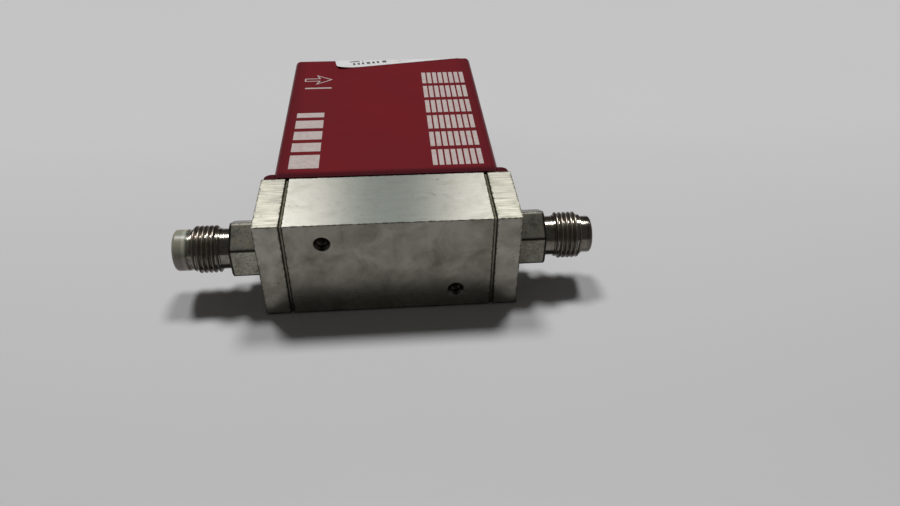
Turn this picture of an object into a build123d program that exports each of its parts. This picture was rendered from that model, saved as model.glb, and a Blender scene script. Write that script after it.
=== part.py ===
from build123d import *
import os
from math import cos, pi, radians, sqrt, tan

# A thermal mass flow controller, lying on its plain side.
# +X follows the gas from the inlet to the outlet, +Y rises from the mounting face of the
# base to the connector end of the cover, and +Z is the outward normal of the marked side.
# The origin is the centre of the mounting face. All sizes are in millimetres.

# ---- base: a centre block between two end blocks
face_to_face = 124.0
base_depth = 25.0
base_thickness = 32.2
body_block_length = 59.8
end_block_length = 7.4
seal_plate_thickness = 0.9
seal_plate_recess = 0.5
block_edge_chamfer = 0.15

# ---- face-seal end fittings, 9/16-18 UNF on a 5/8 inch hexagon
thread_radius = 7.144
thread_end_chamfer = 0.7
thread_length = 8.3
neck_length = 3.3
neck_radius = 6.1
nose_length = 3.4
nose_radius = 5.68
nose_chamfer = 0.7
hexagon_across_flats = 15.875
hexagon_end_chamfer = 0.5
spigot_radius = 6.5
spigot_length = 3.0
gas_bore_radius = 2.3
bead_circle_radius = 3.7
bead_radius = 0.55
bead_recess_radius = 4.6
bead_recess_depth = 0.5
cap_wall = 0.45
cap_overlap = 3.2
cap_end_thickness = 2.0
cap_corner_radius = 0.9
cap_clearance = 0.09

# ---- screws
m2_radius = 1.0
m2_head_radius = 1.7
m2_head_height = 0.9
m25_radius = 1.25
m25_head_radius = 2.25
m25_head_height = 2.5
m25_pan_height = 1.6
m3_radius = 1.5
m3_head_radius = 2.75
m3_head_height = 3.0
socket_width_share = 0.5
socket_depth_share = 0.75
crown_share = 0.4
cross_length_share = 1.2
cross_width_share = 0.25
cross_depth_share = 0.4
thread_clearance = 0.05
shank_clearance = 0.2
head_clearance = 0.15
tap_overrun = 1.0
end_screw_length = 10.0
end_screw_offset_y = 8.4
end_screw_offset_z = 12.2
end_screw_head_sink = 3.3

# ---- tapped mounting holes in the base, M4
mounting_spacing_x = 38.6
mounting_spacing_z = 19.0
mounting_hole_radius = 1.65
mounting_hole_depth = 8.0
mounting_countersink_radius = 2.45

# ---- gas passages in the centre block
bypass_bore_radius = 6.0
bypass_bore_length = 30.0
passage_radius = 1.75
outlet_bore_radius = 3.0
outlet_riser_radius = 1.2
outlet_riser_gap = 0.4
drill_overrun = 0.5
seal_ring_outer_radius = 7.2
seal_ring_inner_radius = 6.2
ring_clearance = 0.1

# ---- bypass element and inlet filter
filter_thickness = 1.6
bypass_core_length = 22.0
bypass_core_radius = 4.0
bypass_land_length = 2.5
bypass_sleeve_wall = 1.0
bypass_slot_count = 12
bypass_slot_width = 0.7

# ---- sensor
sensor_base_length = 22.6
sensor_base_height = 5.0
sensor_base_width = 14.0
sensor_base_corner = 2.0
sensor_port_spacing = 9.0
sensor_port_radius = 0.9
sensor_screw_spacing = 18.0
sensor_screw_grip = 4.0
sensor_seal_outer_radius = 2.0
sensor_seal_thickness = 1.0
capillary_radius = 0.4
capillary_rise = 11.0
capillary_bend_radius = 2.4
winding_radius = 0.8
winding_length = 1.6
winding_gap = 0.5
sensor_case_length = 13.2
sensor_case_width = 10.0
sensor_case_wall = 1.4
sensor_case_headroom = 1.8
sensor_case_corner = 1.0

# ---- control valve
valve_flange_height = 5.0
valve_flange_corner = 2.0
valve_cavity_radius = 8.0
valve_cavity_depth = 5.0
valve_spacer_wall = 1.6
valve_spacer_height = 2.9
valve_fit_clearance = 0.1
diaphragm_thickness = 0.3
seat_radius = 4.0
seat_height = 2.0
seat_lip_radius = 1.6
seat_lip_height = 0.6
seat_inlet_radius = 1.2
seat_inlet_depth = 1.2
orifice_radius = 0.6
valve_tube_radius = 7.0
valve_tube_wall = 1.6
stack_headroom = 6.0
valve_screw_room = 0.8
valve_flange_margin = 0.1
valve_screw_length = 10.0
plunger_radius = 5.0
plunger_height = 4.0
plunger_tip_radius = 2.0
stack_radius = 4.6
stack_height = 34.0
stack_end_chamfer = 0.4
valve_cap_wall = 2.0
valve_cap_skirt = 7.0
valve_cap_top = 3.0
valve_cap_chamfer = 0.6
lock_screw_radius = 2.5
lock_screw_length = 7.0
lock_screw_slot_width = 0.8
lock_screw_slot_depth = 1.0

# ---- cover
cover_setback = 3.45
cover_height = 88.3
cover_proud = 0.4
cover_wall = 1.0
cover_edge_radius = 2.0
wing_thickness = 2.7
wing_setback = 0.7
wing_corner_radius = 2.2
cover_screw_height = 10.0
cover_screw_reach = 3.0

# ---- inner frame
frame_clearance = 0.3
frame_sheet = 1.2
frame_bend_radius = 1.6
frame_ledge_reach = 6.5
frame_ledge_start = 14.0
frame_ledge_length = 56.0
foot_screw_length = 7.0
foot_screw_edge = 2.6

# ---- boards
board_thickness = 1.6
board_edge_gap = 1.6
board_headroom = 0.8
board_start = 9.0
board_corner = 1.0
board_screw_inset = 6.0
board_screw_edge = 2.25
connector_board_length = 46.0
connector_board_reach = 9.0
header_length = 22.0
header_size = 2.5
header_chamfer = 0.8
chip_size = (13.0, 7.0, 2.2)
chip_inset = 14.6
chip_row_start = 34.0
chip_row_pitch = 11.0
chip_count = 3
small_chip_size = (6.0, 5.0, 1.6)
small_chip_offset = 13.5
chip_bevel_share = 0.15
parts_row_inset = 12.0
capacitor_radius = 3.2
capacitor_height = 6.5
capacitor_edge = 0.5
capacitor_pitch = 9.0
capacitor_count = 2
trimmer_width = 4.8
trimmer_length = 9.4
trimmer_height = 5.0
trimmer_inset = 9.6
trimmer_pitch = 7.0
trimmer_count = 3
trimmer_screw_radius = 1.1
trimmer_screw_reach = 1.0
trimmer_screw_depth = 3.2

# ---- nine-way connector
connector_flange_margin = 2.9
connector_flange_width = 12.5
connector_flange_thickness = 1.0
connector_flange_corner = 1.5
connector_shell_length = 16.9
connector_shell_width = 8.3
connector_shell_slope = 10.0
connector_shell_corner = 2.2
connector_shell_wall = 0.5
connector_shell_reach = 6.0
connector_rear_depth = 6.4
connector_rear_inset = 0.8
connector_face_depth = 4.6
insulator_clearance = 0.05
long_row_pins = 5
pin_radius = 0.5
pin_pitch = 2.77
pin_row_spacing = 2.84
pin_recess = 0.6
pin_tip_chamfer = 0.25
pin_clearance = 0.02
jackscrew_margin = 4.05
jackscrew_radius = 1.42
jackscrew_hexagon = 4.76
jackscrew_height = 4.8
jackscrew_shank = 6.4
jackscrew_chamfer = 0.3
nut_thickness = 2.0
cutout_clearance = 0.4

# ---- label, folded over the far edge of the cover
label_thickness = 0.15
label_length = 50.0
label_width = 12.0
label_turn = 9.5
label_corner_radius = 2.2
label_start_inset = 52.65
label_reach = 9.5

# ---- places worked out from the sizes above
half_thickness = base_thickness / 2
axis_y = base_depth / 2
body_end = body_block_length / 2
end_block_start = body_end + seal_plate_thickness
base_end = end_block_start + end_block_length
nose_end = face_to_face / 2
thread_end = nose_end - nose_length
thread_start = thread_end - thread_length
hexagon_end = thread_start - neck_length
cover_face = half_thickness + cover_proud
cover_end = base_depth + cover_height
cover_side = base_end - cover_setback
wing_end = base_end - wing_setback
cover_screw_y = base_depth + cover_screw_height
inner_end = cover_end - cover_wall
frame_side = cover_side - cover_wall - frame_clearance
bridge_top = inner_end - connector_flange_thickness - frame_clearance
board_face = cover_face - cover_wall - board_headroom - m2_head_height - board_thickness
frame_half = board_face - frame_sheet
rear_of_connector = bridge_top - connector_rear_depth
rear_length = connector_shell_length + 2 * connector_rear_inset
rear_width = connector_shell_width + 2 * connector_rear_inset
jackscrew_x = connector_shell_length / 2 + jackscrew_margin
valve_screw_offset = (valve_tube_radius + m3_head_radius + valve_screw_room) / sqrt(2)
valve_flange_size = 2 * (valve_screw_offset + m3_head_radius + valve_flange_margin)
# on the centre block, the sensor and the valve share what the feet of the frame leave free
foot_screw_x = body_end - foot_screw_edge
foot_end = foot_screw_x - m25_head_radius - head_clearance
top_gap = (2 * foot_end - sensor_base_length - valve_flange_size) / 3
sensor_x = -foot_end + top_gap + sensor_base_length / 2
valve_x = foot_end - top_gap - valve_flange_size / 2
board_half = frame_side - frame_sheet - board_edge_gap
board_low = base_depth + board_start
board_high = rear_of_connector
ledge_low = base_depth + frame_ledge_start
ledge_high = ledge_low + frame_ledge_length
tolerance = 0.01


def block(x_range, y_range, z_range):
    """A box between two planes along each axis."""
    size = [high - low for low, high in (x_range, y_range, z_range)]
    centre = [(low + high) / 2 for low, high in (x_range, y_range, z_range)]
    return Pos(*centre) * Box(*size)


def rod_x(radius, x_range, y=0.0, z=0.0):
    """A round bar along X."""
    low, high = sorted(x_range)
    return Pos((low + high) / 2, y, z) * Rot(0, 90, 0) * Cylinder(radius, high - low)


def rod_y(radius, y_range, x=0.0, z=0.0):
    """A round bar along Y."""
    low, high = sorted(y_range)
    return Pos(x, (low + high) / 2, z) * Rot(-90, 0, 0) * Cylinder(radius, high - low)


def rod_z(radius, z_range, x=0.0, y=0.0):
    """A round bar along Z."""
    low, high = sorted(z_range)
    return Pos(x, y, (low + high) / 2) * Cylinder(radius, high - low)


def ring_y(outer, inner, y_range, x=0.0, z=0.0):
    """A flat ring about an axis along Y."""
    return rod_y(outer, y_range, x, z) - rod_y(inner, y_range, x, z)


def turned(points):
    """A turned piece: a half profile of (x, radius) points spun about the gas axis."""
    profile = make_face(Polyline(*points, close=True))
    return Pos(0, axis_y, 0) * revolve(profile, Axis.X)


def other_end(shape):
    """The same piece at the inlet end."""
    return mirror(shape, about=Plane.YZ)


def shank_down(radius, length):
    """The shank of a screw, from the origin along -Z."""
    return Pos(0, 0, -length / 2) * Cylinder(radius, length)


def cross_recess(head, depth):
    """The cross for the driver, as deep below the origin as above it."""
    reach = head * cross_length_share
    width = head * cross_width_share
    return Box(reach, width, 2 * depth) + Box(width, reach, 2 * depth)


def socket_screw(shank, head, height, length):
    """A socket head screw with its head seated at the origin and its shank along -Z."""
    depth = height * socket_depth_share
    socket = Pos(0, 0, height - depth) * extrude(RegularPolygon(head * socket_width_share, 6), 2 * depth)
    return Pos(0, 0, height / 2) * Cylinder(head, height) - socket + shank_down(shank, length)


def pan_screw(shank, head, height, length):
    """A pan head screw with its head seated at the origin and its shank along -Z."""
    crown = Pos(0, 0, height / 2) * Cylinder(head, height)
    crown = fillet(crown.edges().sort_by(Axis.Z)[-1], height * crown_share)
    recess = Pos(0, 0, height) * cross_recess(head, height * cross_depth_share)
    return crown - recess + shank_down(shank, length)


def countersunk_screw(shank, head, length):
    """A countersunk screw with its top face at the origin and its shank along -Z."""
    sink = head - shank
    cone = Pos(0, 0, -sink / 2) * Cone(shank, head, sink)
    return cone - cross_recess(head, sink * cross_depth_share) + shank_down(shank, length)


def facing(direction, x, y, z):
    """A place whose local +Z points along +X, -X, +Y, -Y or +Z."""
    turns = {"+X": (0, 90, 0), "-X": (0, -90, 0), "+Y": (-90, 0, 0), "-Y": (90, 0, 0), "+Z": (0, 0, 0)}
    return Pos(x, y, z) * Rot(*turns[direction])


def group(shapes):
    """Like pieces that share one node."""
    return Compound(children=[part for shape in shapes for part in shape.solids()])


# ---- base

end_screw_places = [
    (axis_y + side_y * end_screw_offset_y, side_z * end_screw_offset_z)
    for side_y in (-1, 1)
    for side_z in (-1, 1)
]
mounting_places = [
    (-mounting_spacing_x / 2, mounting_spacing_z / 2),
    (mounting_spacing_x / 2, -mounting_spacing_z / 2),
]
sensor_ports = [sensor_x - sensor_port_spacing / 2, sensor_x + sensor_port_spacing / 2]
sensor_screw_places = [sensor_x - sensor_screw_spacing / 2, sensor_x + sensor_screw_spacing / 2]
valve_screw_places = [
    (valve_x + side_x * valve_screw_offset, side_z * valve_screw_offset)
    for side_x in (-1, 1)
    for side_z in (-1, 1)
]
foot_screw_z = frame_half / 2
foot_screw_places = [
    (side_x * foot_screw_x, side_z * foot_screw_z)
    for side_x in (-1, 1)
    for side_z in (-1, 1)
]
board_screw_places = [
    (side * (board_half - board_screw_edge), y)
    for side in (-1, 1)
    for y in (ledge_low + board_screw_inset, ledge_high - board_screw_inset)
]
end_screw_grip = end_block_length - end_screw_head_sink + seal_plate_thickness
end_tap_depth = end_screw_length - end_screw_grip + tap_overrun
valve_tap_depth = valve_screw_length - valve_flange_height + tap_overrun
foot_tap_depth = foot_screw_length - frame_sheet + tap_overrun
sensor_tap_depth = sensor_screw_grip + tap_overrun


def make_body_block():
    body = block((-body_end, body_end), (0, base_depth), (-half_thickness, half_thickness))
    end_edges = body.edges().filter_by(lambda edge: abs(abs(edge.center().X) - body_end) < tolerance)
    body = chamfer(end_edges, block_edge_chamfer)
    # gas path: bypass bore, crossing to the valve, and the way out
    bypass_end = -body_end + bypass_bore_length
    floor = base_depth - valve_cavity_depth
    riser_x = valve_x + seat_radius + outlet_riser_gap + outlet_riser_radius
    body -= rod_x(bypass_bore_radius, (-body_end, bypass_end), axis_y)
    body -= rod_x(passage_radius, (bypass_end, valve_x + passage_radius + drill_overrun), axis_y)
    body -= rod_y(passage_radius, (axis_y, floor), valve_x)
    body -= rod_y(outlet_riser_radius, (axis_y, floor), riser_x)
    outlet_start = riser_x - outlet_riser_radius - drill_overrun
    body -= rod_x(outlet_bore_radius, (outlet_start, body_end), axis_y)
    body -= rod_y(valve_cavity_radius, (floor, base_depth), valve_x)
    for port_x in sensor_ports:
        body -= rod_y(sensor_port_radius, (axis_y, base_depth), port_x)
    # tapped holes
    tap = m3_radius + thread_clearance
    for y, z in end_screw_places:
        for side in (-1, 1):
            body -= rod_x(tap, (side * body_end, side * (body_end - end_tap_depth)), y, z)
    for x, z in valve_screw_places:
        body -= rod_y(tap, (base_depth - valve_tap_depth, base_depth), x, z)
    tap = m25_radius + thread_clearance
    for x, z in foot_screw_places:
        body -= rod_y(tap, (base_depth - foot_tap_depth, base_depth), x, z)
    for x in sensor_screw_places:
        body -= rod_y(tap, (base_depth - sensor_tap_depth, base_depth), x)
    countersink_depth = mounting_countersink_radius - mounting_hole_radius
    for x, z in mounting_places:
        body -= rod_y(mounting_hole_radius, (0, mounting_hole_depth), x, z)
        body -= facing("+Y", x, countersink_depth / 2, z) * Cone(
            mounting_countersink_radius, mounting_hole_radius, countersink_depth
        )
    return body


def make_end_block():
    plate = block((end_block_start, base_end), (0, base_depth), (-half_thickness, half_thickness))
    seam_edges = plate.edges().filter_by(lambda edge: abs(edge.center().X - end_block_start) < tolerance)
    plate = chamfer(seam_edges, block_edge_chamfer)
    plate -= rod_x(gas_bore_radius, (end_block_start, base_end), axis_y)
    plate -= rod_x(spigot_radius + thread_clearance, (base_end - spigot_length, base_end), axis_y)
    for y, z in end_screw_places:
        plate -= rod_x(m3_radius + shank_clearance, (end_block_start, base_end), y, z)
        plate -= rod_x(m3_head_radius + head_clearance, (base_end - end_screw_head_sink, base_end), y, z)
    return plate


def make_seal_plate():
    reach = half_thickness - seal_plate_recess
    depth_range = (seal_plate_recess, base_depth - seal_plate_recess)
    plate = block((body_end, end_block_start), depth_range, (-reach, reach))
    plate -= rod_x(seal_ring_outer_radius + ring_clearance, (body_end, end_block_start), axis_y)
    for y, z in end_screw_places:
        plate -= rod_x(m3_radius + shank_clearance, (body_end, end_block_start), y, z)
    return plate


def make_seal_ring():
    span = (body_end, end_block_start)
    return rod_x(seal_ring_outer_radius, span, axis_y) - rod_x(seal_ring_inner_radius, span, axis_y)


def make_end_screws(side):
    head_seat = base_end - end_screw_head_sink
    direction = "+X" if side > 0 else "-X"
    screw = socket_screw(m3_radius, m3_head_radius, m3_head_height, end_screw_length)
    return group([facing(direction, side * head_seat, y, z) * screw for y, z in end_screw_places])


# ---- end fittings


def make_fitting():
    corner = hexagon_across_flats / 2 / cos(pi / 6)
    hexagon_length = hexagon_end - base_end
    # a corner of the hexagon points up
    hexagon = Pos(base_end, axis_y, 0) * Rot(0, 90, 0) * extrude(RegularPolygon(corner, 6), hexagon_length)
    trim = hexagon_end_chamfer
    hexagon &= turned([
        (base_end, 0),
        (base_end, corner + trim),
        (hexagon_end - 2 * trim, corner + trim),
        (hexagon_end, corner - trim),
        (hexagon_end, 0),
    ])
    # spigot, neck, thread blank and nose are turned in one run
    crest = thread_radius - thread_end_chamfer
    shaft = turned([
        (base_end - spigot_length, 0),
        (base_end - spigot_length, spigot_radius),
        (base_end, spigot_radius),
        (base_end, neck_radius),
        (thread_start, neck_radius),
        (thread_start, crest),
        (thread_start + thread_end_chamfer, thread_radius),
        (thread_end - thread_end_chamfer, thread_radius),
        (thread_end, crest),
        (thread_end, nose_radius),
        (nose_end - nose_chamfer, nose_radius),
        (nose_end, nose_radius - nose_chamfer),
        (nose_end, 0),
    ])
    fitting = hexagon + shaft
    fitting -= rod_x(bead_recess_radius, (nose_end - bead_recess_depth, nose_end), axis_y)
    bead_x = nose_end - bead_radius
    fitting += Pos(bead_x, axis_y, 0) * Rot(0, 90, 0) * Torus(bead_circle_radius, bead_radius)
    fitting -= rod_x(gas_bore_radius, (base_end - spigot_length, nose_end), axis_y)
    return fitting


def make_inlet_cap():
    inner = nose_radius + cap_clearance
    outer = inner + cap_wall
    tip = nose_end + cap_end_thickness
    cup = rod_x(outer, (nose_end - cap_overlap, tip), axis_y)
    cup = fillet(cup.edges().sort_by(Axis.X)[-1], cap_corner_radius)
    return cup - rod_x(inner, (nose_end - cap_overlap, nose_end), axis_y)


# ---- filter and bypass


def make_inlet_filter():
    """A sintered disc at the mouth of the bypass bore."""
    radius = bypass_bore_radius - ring_clearance
    return rod_x(radius, (-body_end, -body_end + filter_thickness), axis_y)


def make_bypass_sleeve():
    start = -body_end + filter_thickness
    outer = bypass_bore_radius - ring_clearance
    span = (start, -body_end + bypass_bore_length)
    return rod_x(outer, span, axis_y) - rod_x(outer - bypass_sleeve_wall, span, axis_y)


def make_bypass_core():
    """A grooved laminar core between two lands, inside the sleeve."""
    bore = bypass_bore_radius - ring_clearance - bypass_sleeve_wall
    land = bore - ring_clearance
    end = -body_end + bypass_bore_length
    start = end - bypass_core_length
    core = rod_x(bypass_core_radius, (start, end), axis_y)
    lands = rod_x(land, (start, start + bypass_land_length), axis_y)
    lands += rod_x(land, (end - bypass_land_length, end), axis_y)
    # each slot runs from inside the core, which fills its foot again, out past the land
    centre = Pos((start + end) / 2, axis_y, 0)
    slot = Pos(0, (bypass_core_radius + land) / 2, 0) * Box(bypass_core_length, land, bypass_slot_width)
    for index in range(bypass_slot_count):
        lands -= centre * Rot(index * 360 / bypass_slot_count, 0, 0) * slot
    return core + lands


# ---- sensor

sensor_top = base_depth + sensor_base_height


def make_sensor_base():
    half = sensor_base_length / 2
    width = sensor_base_width / 2
    base = block((sensor_x - half, sensor_x + half), (base_depth, sensor_top), (-width, width))
    base = fillet(base.edges().filter_by(Axis.Y), sensor_base_corner)
    for x in sensor_ports:
        base -= rod_y(capillary_radius + thread_clearance, (base_depth, sensor_top), x)
        base -= rod_y(sensor_seal_outer_radius, (base_depth, base_depth + sensor_seal_thickness), x)
    for x in sensor_screw_places:
        base -= rod_y(m25_radius + shank_clearance, (base_depth, sensor_top), x)
    return base


def make_sensor_seals():
    span = (base_depth, base_depth + sensor_seal_thickness)
    outer = sensor_seal_outer_radius - ring_clearance
    return group([ring_y(outer, sensor_port_radius, span, x) for x in sensor_ports])


def make_capillary():
    """One bent tube: up from one port, across, and down to the other."""
    foot = base_depth + sensor_seal_thickness
    top = sensor_top + capillary_rise
    left, right = sensor_ports
    corners = [(left, foot, 0), (left, top, 0), (right, top, 0), (right, foot, 0)]
    path = FilletPolyline(*corners, radius=capillary_bend_radius)
    return sweep(Plane(origin=(left, foot, 0), z_dir=(0, 1, 0)) * Circle(capillary_radius), path)


def make_windings():
    height = sensor_top + capillary_rise
    bore = capillary_radius + thread_clearance
    coils = []
    for side in (-1, 1):
        near = sensor_x + side * winding_gap / 2
        far = near + side * winding_length
        coils.append(rod_x(winding_radius, (near, far), height) - rod_x(bore, (near, far), height))
    return group(coils)


def make_sensor_case():
    half = sensor_case_length / 2
    width = sensor_case_width / 2
    roof = sensor_top + capillary_rise + sensor_case_headroom
    case = block((sensor_x - half, sensor_x + half), (sensor_top, roof + sensor_case_wall), (-width, width))
    case = fillet(case.edges().filter_by(Axis.Y), sensor_case_corner)
    inner = half - sensor_case_wall
    inner_width = width - sensor_case_wall
    return case - block((sensor_x - inner, sensor_x + inner), (sensor_top, roof), (-inner_width, inner_width))


def make_sensor_screws():
    length = sensor_base_height + sensor_screw_grip
    screw = socket_screw(m25_radius, m25_head_radius, m25_head_height, length)
    return group([facing("+Y", x, sensor_top, 0) * screw for x in sensor_screw_places])


# ---- valve

cavity_floor = base_depth - valve_cavity_depth
diaphragm_seat = cavity_floor + valve_spacer_height
flange_top = base_depth + valve_flange_height
tube_bore = valve_tube_radius - valve_tube_wall
plunger_foot = diaphragm_seat + diaphragm_thickness
plunger_top = flange_top + plunger_height
stack_top = plunger_top + stack_height
tube_top = stack_top + stack_headroom
cap_top = tube_top + valve_cap_top


def make_valve_seat():
    lip_top = cavity_floor + seat_height + seat_lip_height
    seat = rod_y(seat_radius, (cavity_floor, cavity_floor + seat_height), valve_x)
    seat += rod_y(seat_lip_radius, (cavity_floor, lip_top), valve_x)
    seat -= rod_y(seat_inlet_radius, (cavity_floor, cavity_floor + seat_inlet_depth), valve_x)
    return seat - rod_y(orifice_radius, (cavity_floor, lip_top), valve_x)


def make_valve_spacer():
    outer = valve_cavity_radius - valve_fit_clearance
    return ring_y(outer, outer - valve_spacer_wall, (cavity_floor, diaphragm_seat), valve_x)


def make_diaphragm():
    outer = valve_cavity_radius - valve_fit_clearance
    return rod_y(outer, (diaphragm_seat, diaphragm_seat + diaphragm_thickness), valve_x)


def make_valve_case():
    half = valve_flange_size / 2
    case = block((valve_x - half, valve_x + half), (base_depth, flange_top), (-half, half))
    case = fillet(case.edges().filter_by(Axis.Y), valve_flange_corner)
    case += rod_y(valve_cavity_radius - valve_fit_clearance, (plunger_foot, base_depth), valve_x)
    case += rod_y(valve_tube_radius, (flange_top, tube_top), valve_x)
    case -= rod_y(tube_bore, (flange_top, tube_top), valve_x)
    case -= rod_y(plunger_tip_radius + ring_clearance, (plunger_foot, flange_top), valve_x)
    for x, z in valve_screw_places:
        case -= rod_y(m3_radius + shank_clearance, (base_depth, flange_top), x, z)
    return case


def make_plunger():
    plunger = rod_y(plunger_tip_radius, (plunger_foot, flange_top), valve_x)
    return plunger + rod_y(plunger_radius, (flange_top, plunger_top), valve_x)


def make_stack():
    stack = rod_y(stack_radius, (plunger_top, stack_top), valve_x)
    return chamfer(stack.edges().filter_by(GeomType.CIRCLE), stack_end_chamfer)


def make_valve_cap():
    """A threaded cap over the top of the tube, with a tapped centre."""
    cap = rod_y(valve_tube_radius + valve_cap_wall, (tube_top - valve_cap_skirt, cap_top), valve_x)
    cap = chamfer(cap.edges().sort_by(Axis.Y)[-1], valve_cap_chamfer)
    cap -= rod_y(valve_tube_radius + thread_clearance, (tube_top - valve_cap_skirt, tube_top), valve_x)
    return cap - rod_y(lock_screw_radius + thread_clearance, (tube_top, cap_top), valve_x)


def make_lock_screw():
    """The set screw that bears on the top of the actuator stack."""
    top = stack_top + lock_screw_length
    screw = rod_y(lock_screw_radius, (stack_top, top), valve_x)
    slot = Box(3 * lock_screw_radius, 2 * lock_screw_slot_depth, lock_screw_slot_width)
    return screw - Pos(valve_x, top, 0) * slot


def make_valve_screws():
    screw = socket_screw(m3_radius, m3_head_radius, m3_head_height, valve_screw_length)
    return group([facing("+Y", x, flange_top, z) * screw for x, z in valve_screw_places])


# ---- cover


def d_outline(length, width, slope, corner):
    """The outline of a nine-way shell: a trapezium with round corners, wide side up."""
    shift = width / 2 * tan(radians(slope))
    wide = length / 2
    narrow = wide - 2 * shift
    corners = [(-wide, width / 2), (wide, width / 2), (narrow, -width / 2), (-narrow, -width / 2)]
    return fillet(make_face(Polyline(*corners, close=True)).vertices(), corner)


def connector_prism(length, width, corner, y_range):
    """A nine-way outline made solid along Y, with its wide side towards +Z."""
    low, high = y_range
    face = d_outline(length, width, connector_shell_slope, corner)
    return Pos(0, high, 0) * Rot(90, 0, 0) * extrude(face, high - low)


def make_cover():
    box_shape = block((-cover_side, cover_side), (base_depth, cover_end), (-cover_face, cover_face))
    soft_edges = box_shape.edges().filter_by(lambda edge: edge.center().Y > base_depth + tolerance)
    cover = fillet(soft_edges, cover_edge_radius)
    inner_side = cover_side - cover_wall
    inner_face = cover_face - cover_wall
    cavity = block((-inner_side, inner_side), (base_depth, inner_end), (-inner_face, inner_face))
    soft_edges = cavity.edges().filter_by(lambda edge: edge.center().Y > base_depth + tolerance)
    cavity = fillet(soft_edges, cover_edge_radius - cover_wall)
    # a thick wing at each narrow end, rounded over its outer edge
    for side in (-1, 1):
        reach = (cover_side - cover_wall / 2, wing_end)
        wing = block(reach, (base_depth, base_depth + wing_thickness), (-half_thickness, half_thickness))
        upright_edges = wing.edges().filter_by(Axis.Z)
        wing = fillet(upright_edges.group_by(Axis.X)[-1].sort_by(Axis.Y)[-1], wing_corner_radius)
        cover += wing if side > 0 else other_end(wing)
    cover -= cavity
    # connector cut-out and jackscrew holes in the far end
    wall = (inner_end - cover_edge_radius, cover_end)
    length = connector_shell_length + 2 * cutout_clearance
    width = connector_shell_width + 2 * cutout_clearance
    cover -= connector_prism(length, width, connector_shell_corner + cutout_clearance, wall)
    for side in (-1, 1):
        cover -= rod_y(jackscrew_radius + shank_clearance, wall, side * jackscrew_x)
    # countersunk holes low on the narrow sides
    sink = m3_head_radius - m3_radius
    hole = m3_radius + shank_clearance
    mouth = Pos(0, 0, -sink / 2) * Cone(hole, hole + sink, sink) + Cylinder(hole, 4 * cover_wall)
    for side in (-1, 1):
        cover -= facing("+X" if side > 0 else "-X", side * cover_side, cover_screw_y, 0) * mouth
    return cover


def make_cover_screws():
    length = cover_wall + frame_clearance + frame_sheet + cover_screw_reach
    screw = countersunk_screw(m3_radius, m3_head_radius, length)
    outlet_screw = facing("+X", cover_side, cover_screw_y, 0) * screw
    inlet_screw = facing("-X", -cover_side, cover_screw_y, 0) * screw
    return group([outlet_screw, inlet_screw])


# ---- inner frame


def make_frame():
    """One folded strip: two feet, two uprights and the bridge that carries the connector."""
    outer = Polyline(
        (foot_end, base_depth),
        (frame_side, base_depth),
        (frame_side, bridge_top),
        (-frame_side, bridge_top),
        (-frame_side, base_depth),
        (-foot_end, base_depth),
    )
    inner_side = frame_side - frame_sheet
    inner = Polyline(
        (-foot_end, base_depth + frame_sheet),
        (-inner_side, base_depth + frame_sheet),
        (-inner_side, bridge_top - frame_sheet),
        (inner_side, bridge_top - frame_sheet),
        (inner_side, base_depth + frame_sheet),
        (foot_end, base_depth + frame_sheet),
    )
    joins = [Line(outer @ 1, inner @ 0), Line(inner @ 1, outer @ 0)]
    strip = extrude(make_face(outer + inner + joins), frame_half, both=True)
    upright_edges = strip.edges().filter_by(Axis.Z)
    bends = upright_edges.filter_by(lambda edge: abs(abs(edge.center().X) - frame_side) < tolerance)
    strip = fillet(bends, frame_bend_radius)
    # a ledge folded inwards along the marked edge of each upright carries the board
    for side in (-1, 1):
        span = sorted((side * (inner_side - frame_ledge_reach), side * frame_side))
        strip += block(span, (ledge_low, ledge_high), (frame_half, board_face))
    for x, z in foot_screw_places:
        strip -= rod_y(m25_radius + shank_clearance, (base_depth, base_depth + frame_sheet), x, z)
    for x, y in board_screw_places:
        strip -= rod_z(m2_radius + thread_clearance, (frame_half, board_face), x, y)
    bridge = (bridge_top - frame_sheet, bridge_top)
    opening_x = rear_length / 2 + cutout_clearance
    opening_z = rear_width / 2 + cutout_clearance
    strip -= block((-opening_x, opening_x), bridge, (-opening_z, opening_z))
    for side in (-1, 1):
        strip -= rod_y(jackscrew_radius + shank_clearance, bridge, side * jackscrew_x)
        tap = (side * inner_side, side * frame_side)
        strip -= rod_x(m3_radius + thread_clearance, tap, cover_screw_y)
    return strip


def make_frame_screws():
    screw = pan_screw(m25_radius, m25_head_radius, m25_pan_height, foot_screw_length)
    seat = base_depth + frame_sheet
    return group([facing("+Y", x, seat, z) * screw for x, z in foot_screw_places])


# ---- boards


def make_main_board():
    layer = (board_face, board_face + board_thickness)
    board = block((-board_half, board_half), (board_low, board_high), layer)
    board = fillet(board.edges().filter_by(Axis.Z), board_corner)
    for x, y in board_screw_places:
        board -= rod_z(m2_radius + shank_clearance, layer, x, y)
    return board


def make_board_screws():
    screw = pan_screw(m2_radius, m2_head_radius, m2_head_height, board_thickness + frame_sheet)
    return group([Pos(x, y, board_face + board_thickness) * screw for x, y in board_screw_places])


def make_connector_board():
    half = connector_board_length / 2
    low = rear_of_connector - board_thickness
    return block((-half, half), (low, rear_of_connector), (-connector_board_reach, board_face))


def make_board_header():
    half = header_length / 2
    top = rear_of_connector - board_thickness
    header = block((-half, half), (top - header_size, top), (board_face - header_size, board_face))
    inner_edge = header.edges().filter_by(Axis.X).group_by(Axis.Y)[0].sort_by(Axis.Z)[0]
    return chamfer(inner_edge, header_chamfer)


def chip(x, y, size):
    """A package on the inner face of the main board."""
    length, width, height = size
    body = Pos(x, y, board_face - height / 2) * Box(length, width, height)
    return chamfer(body.faces().sort_by(Axis.Z)[0].edges(), height * chip_bevel_share)


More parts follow.
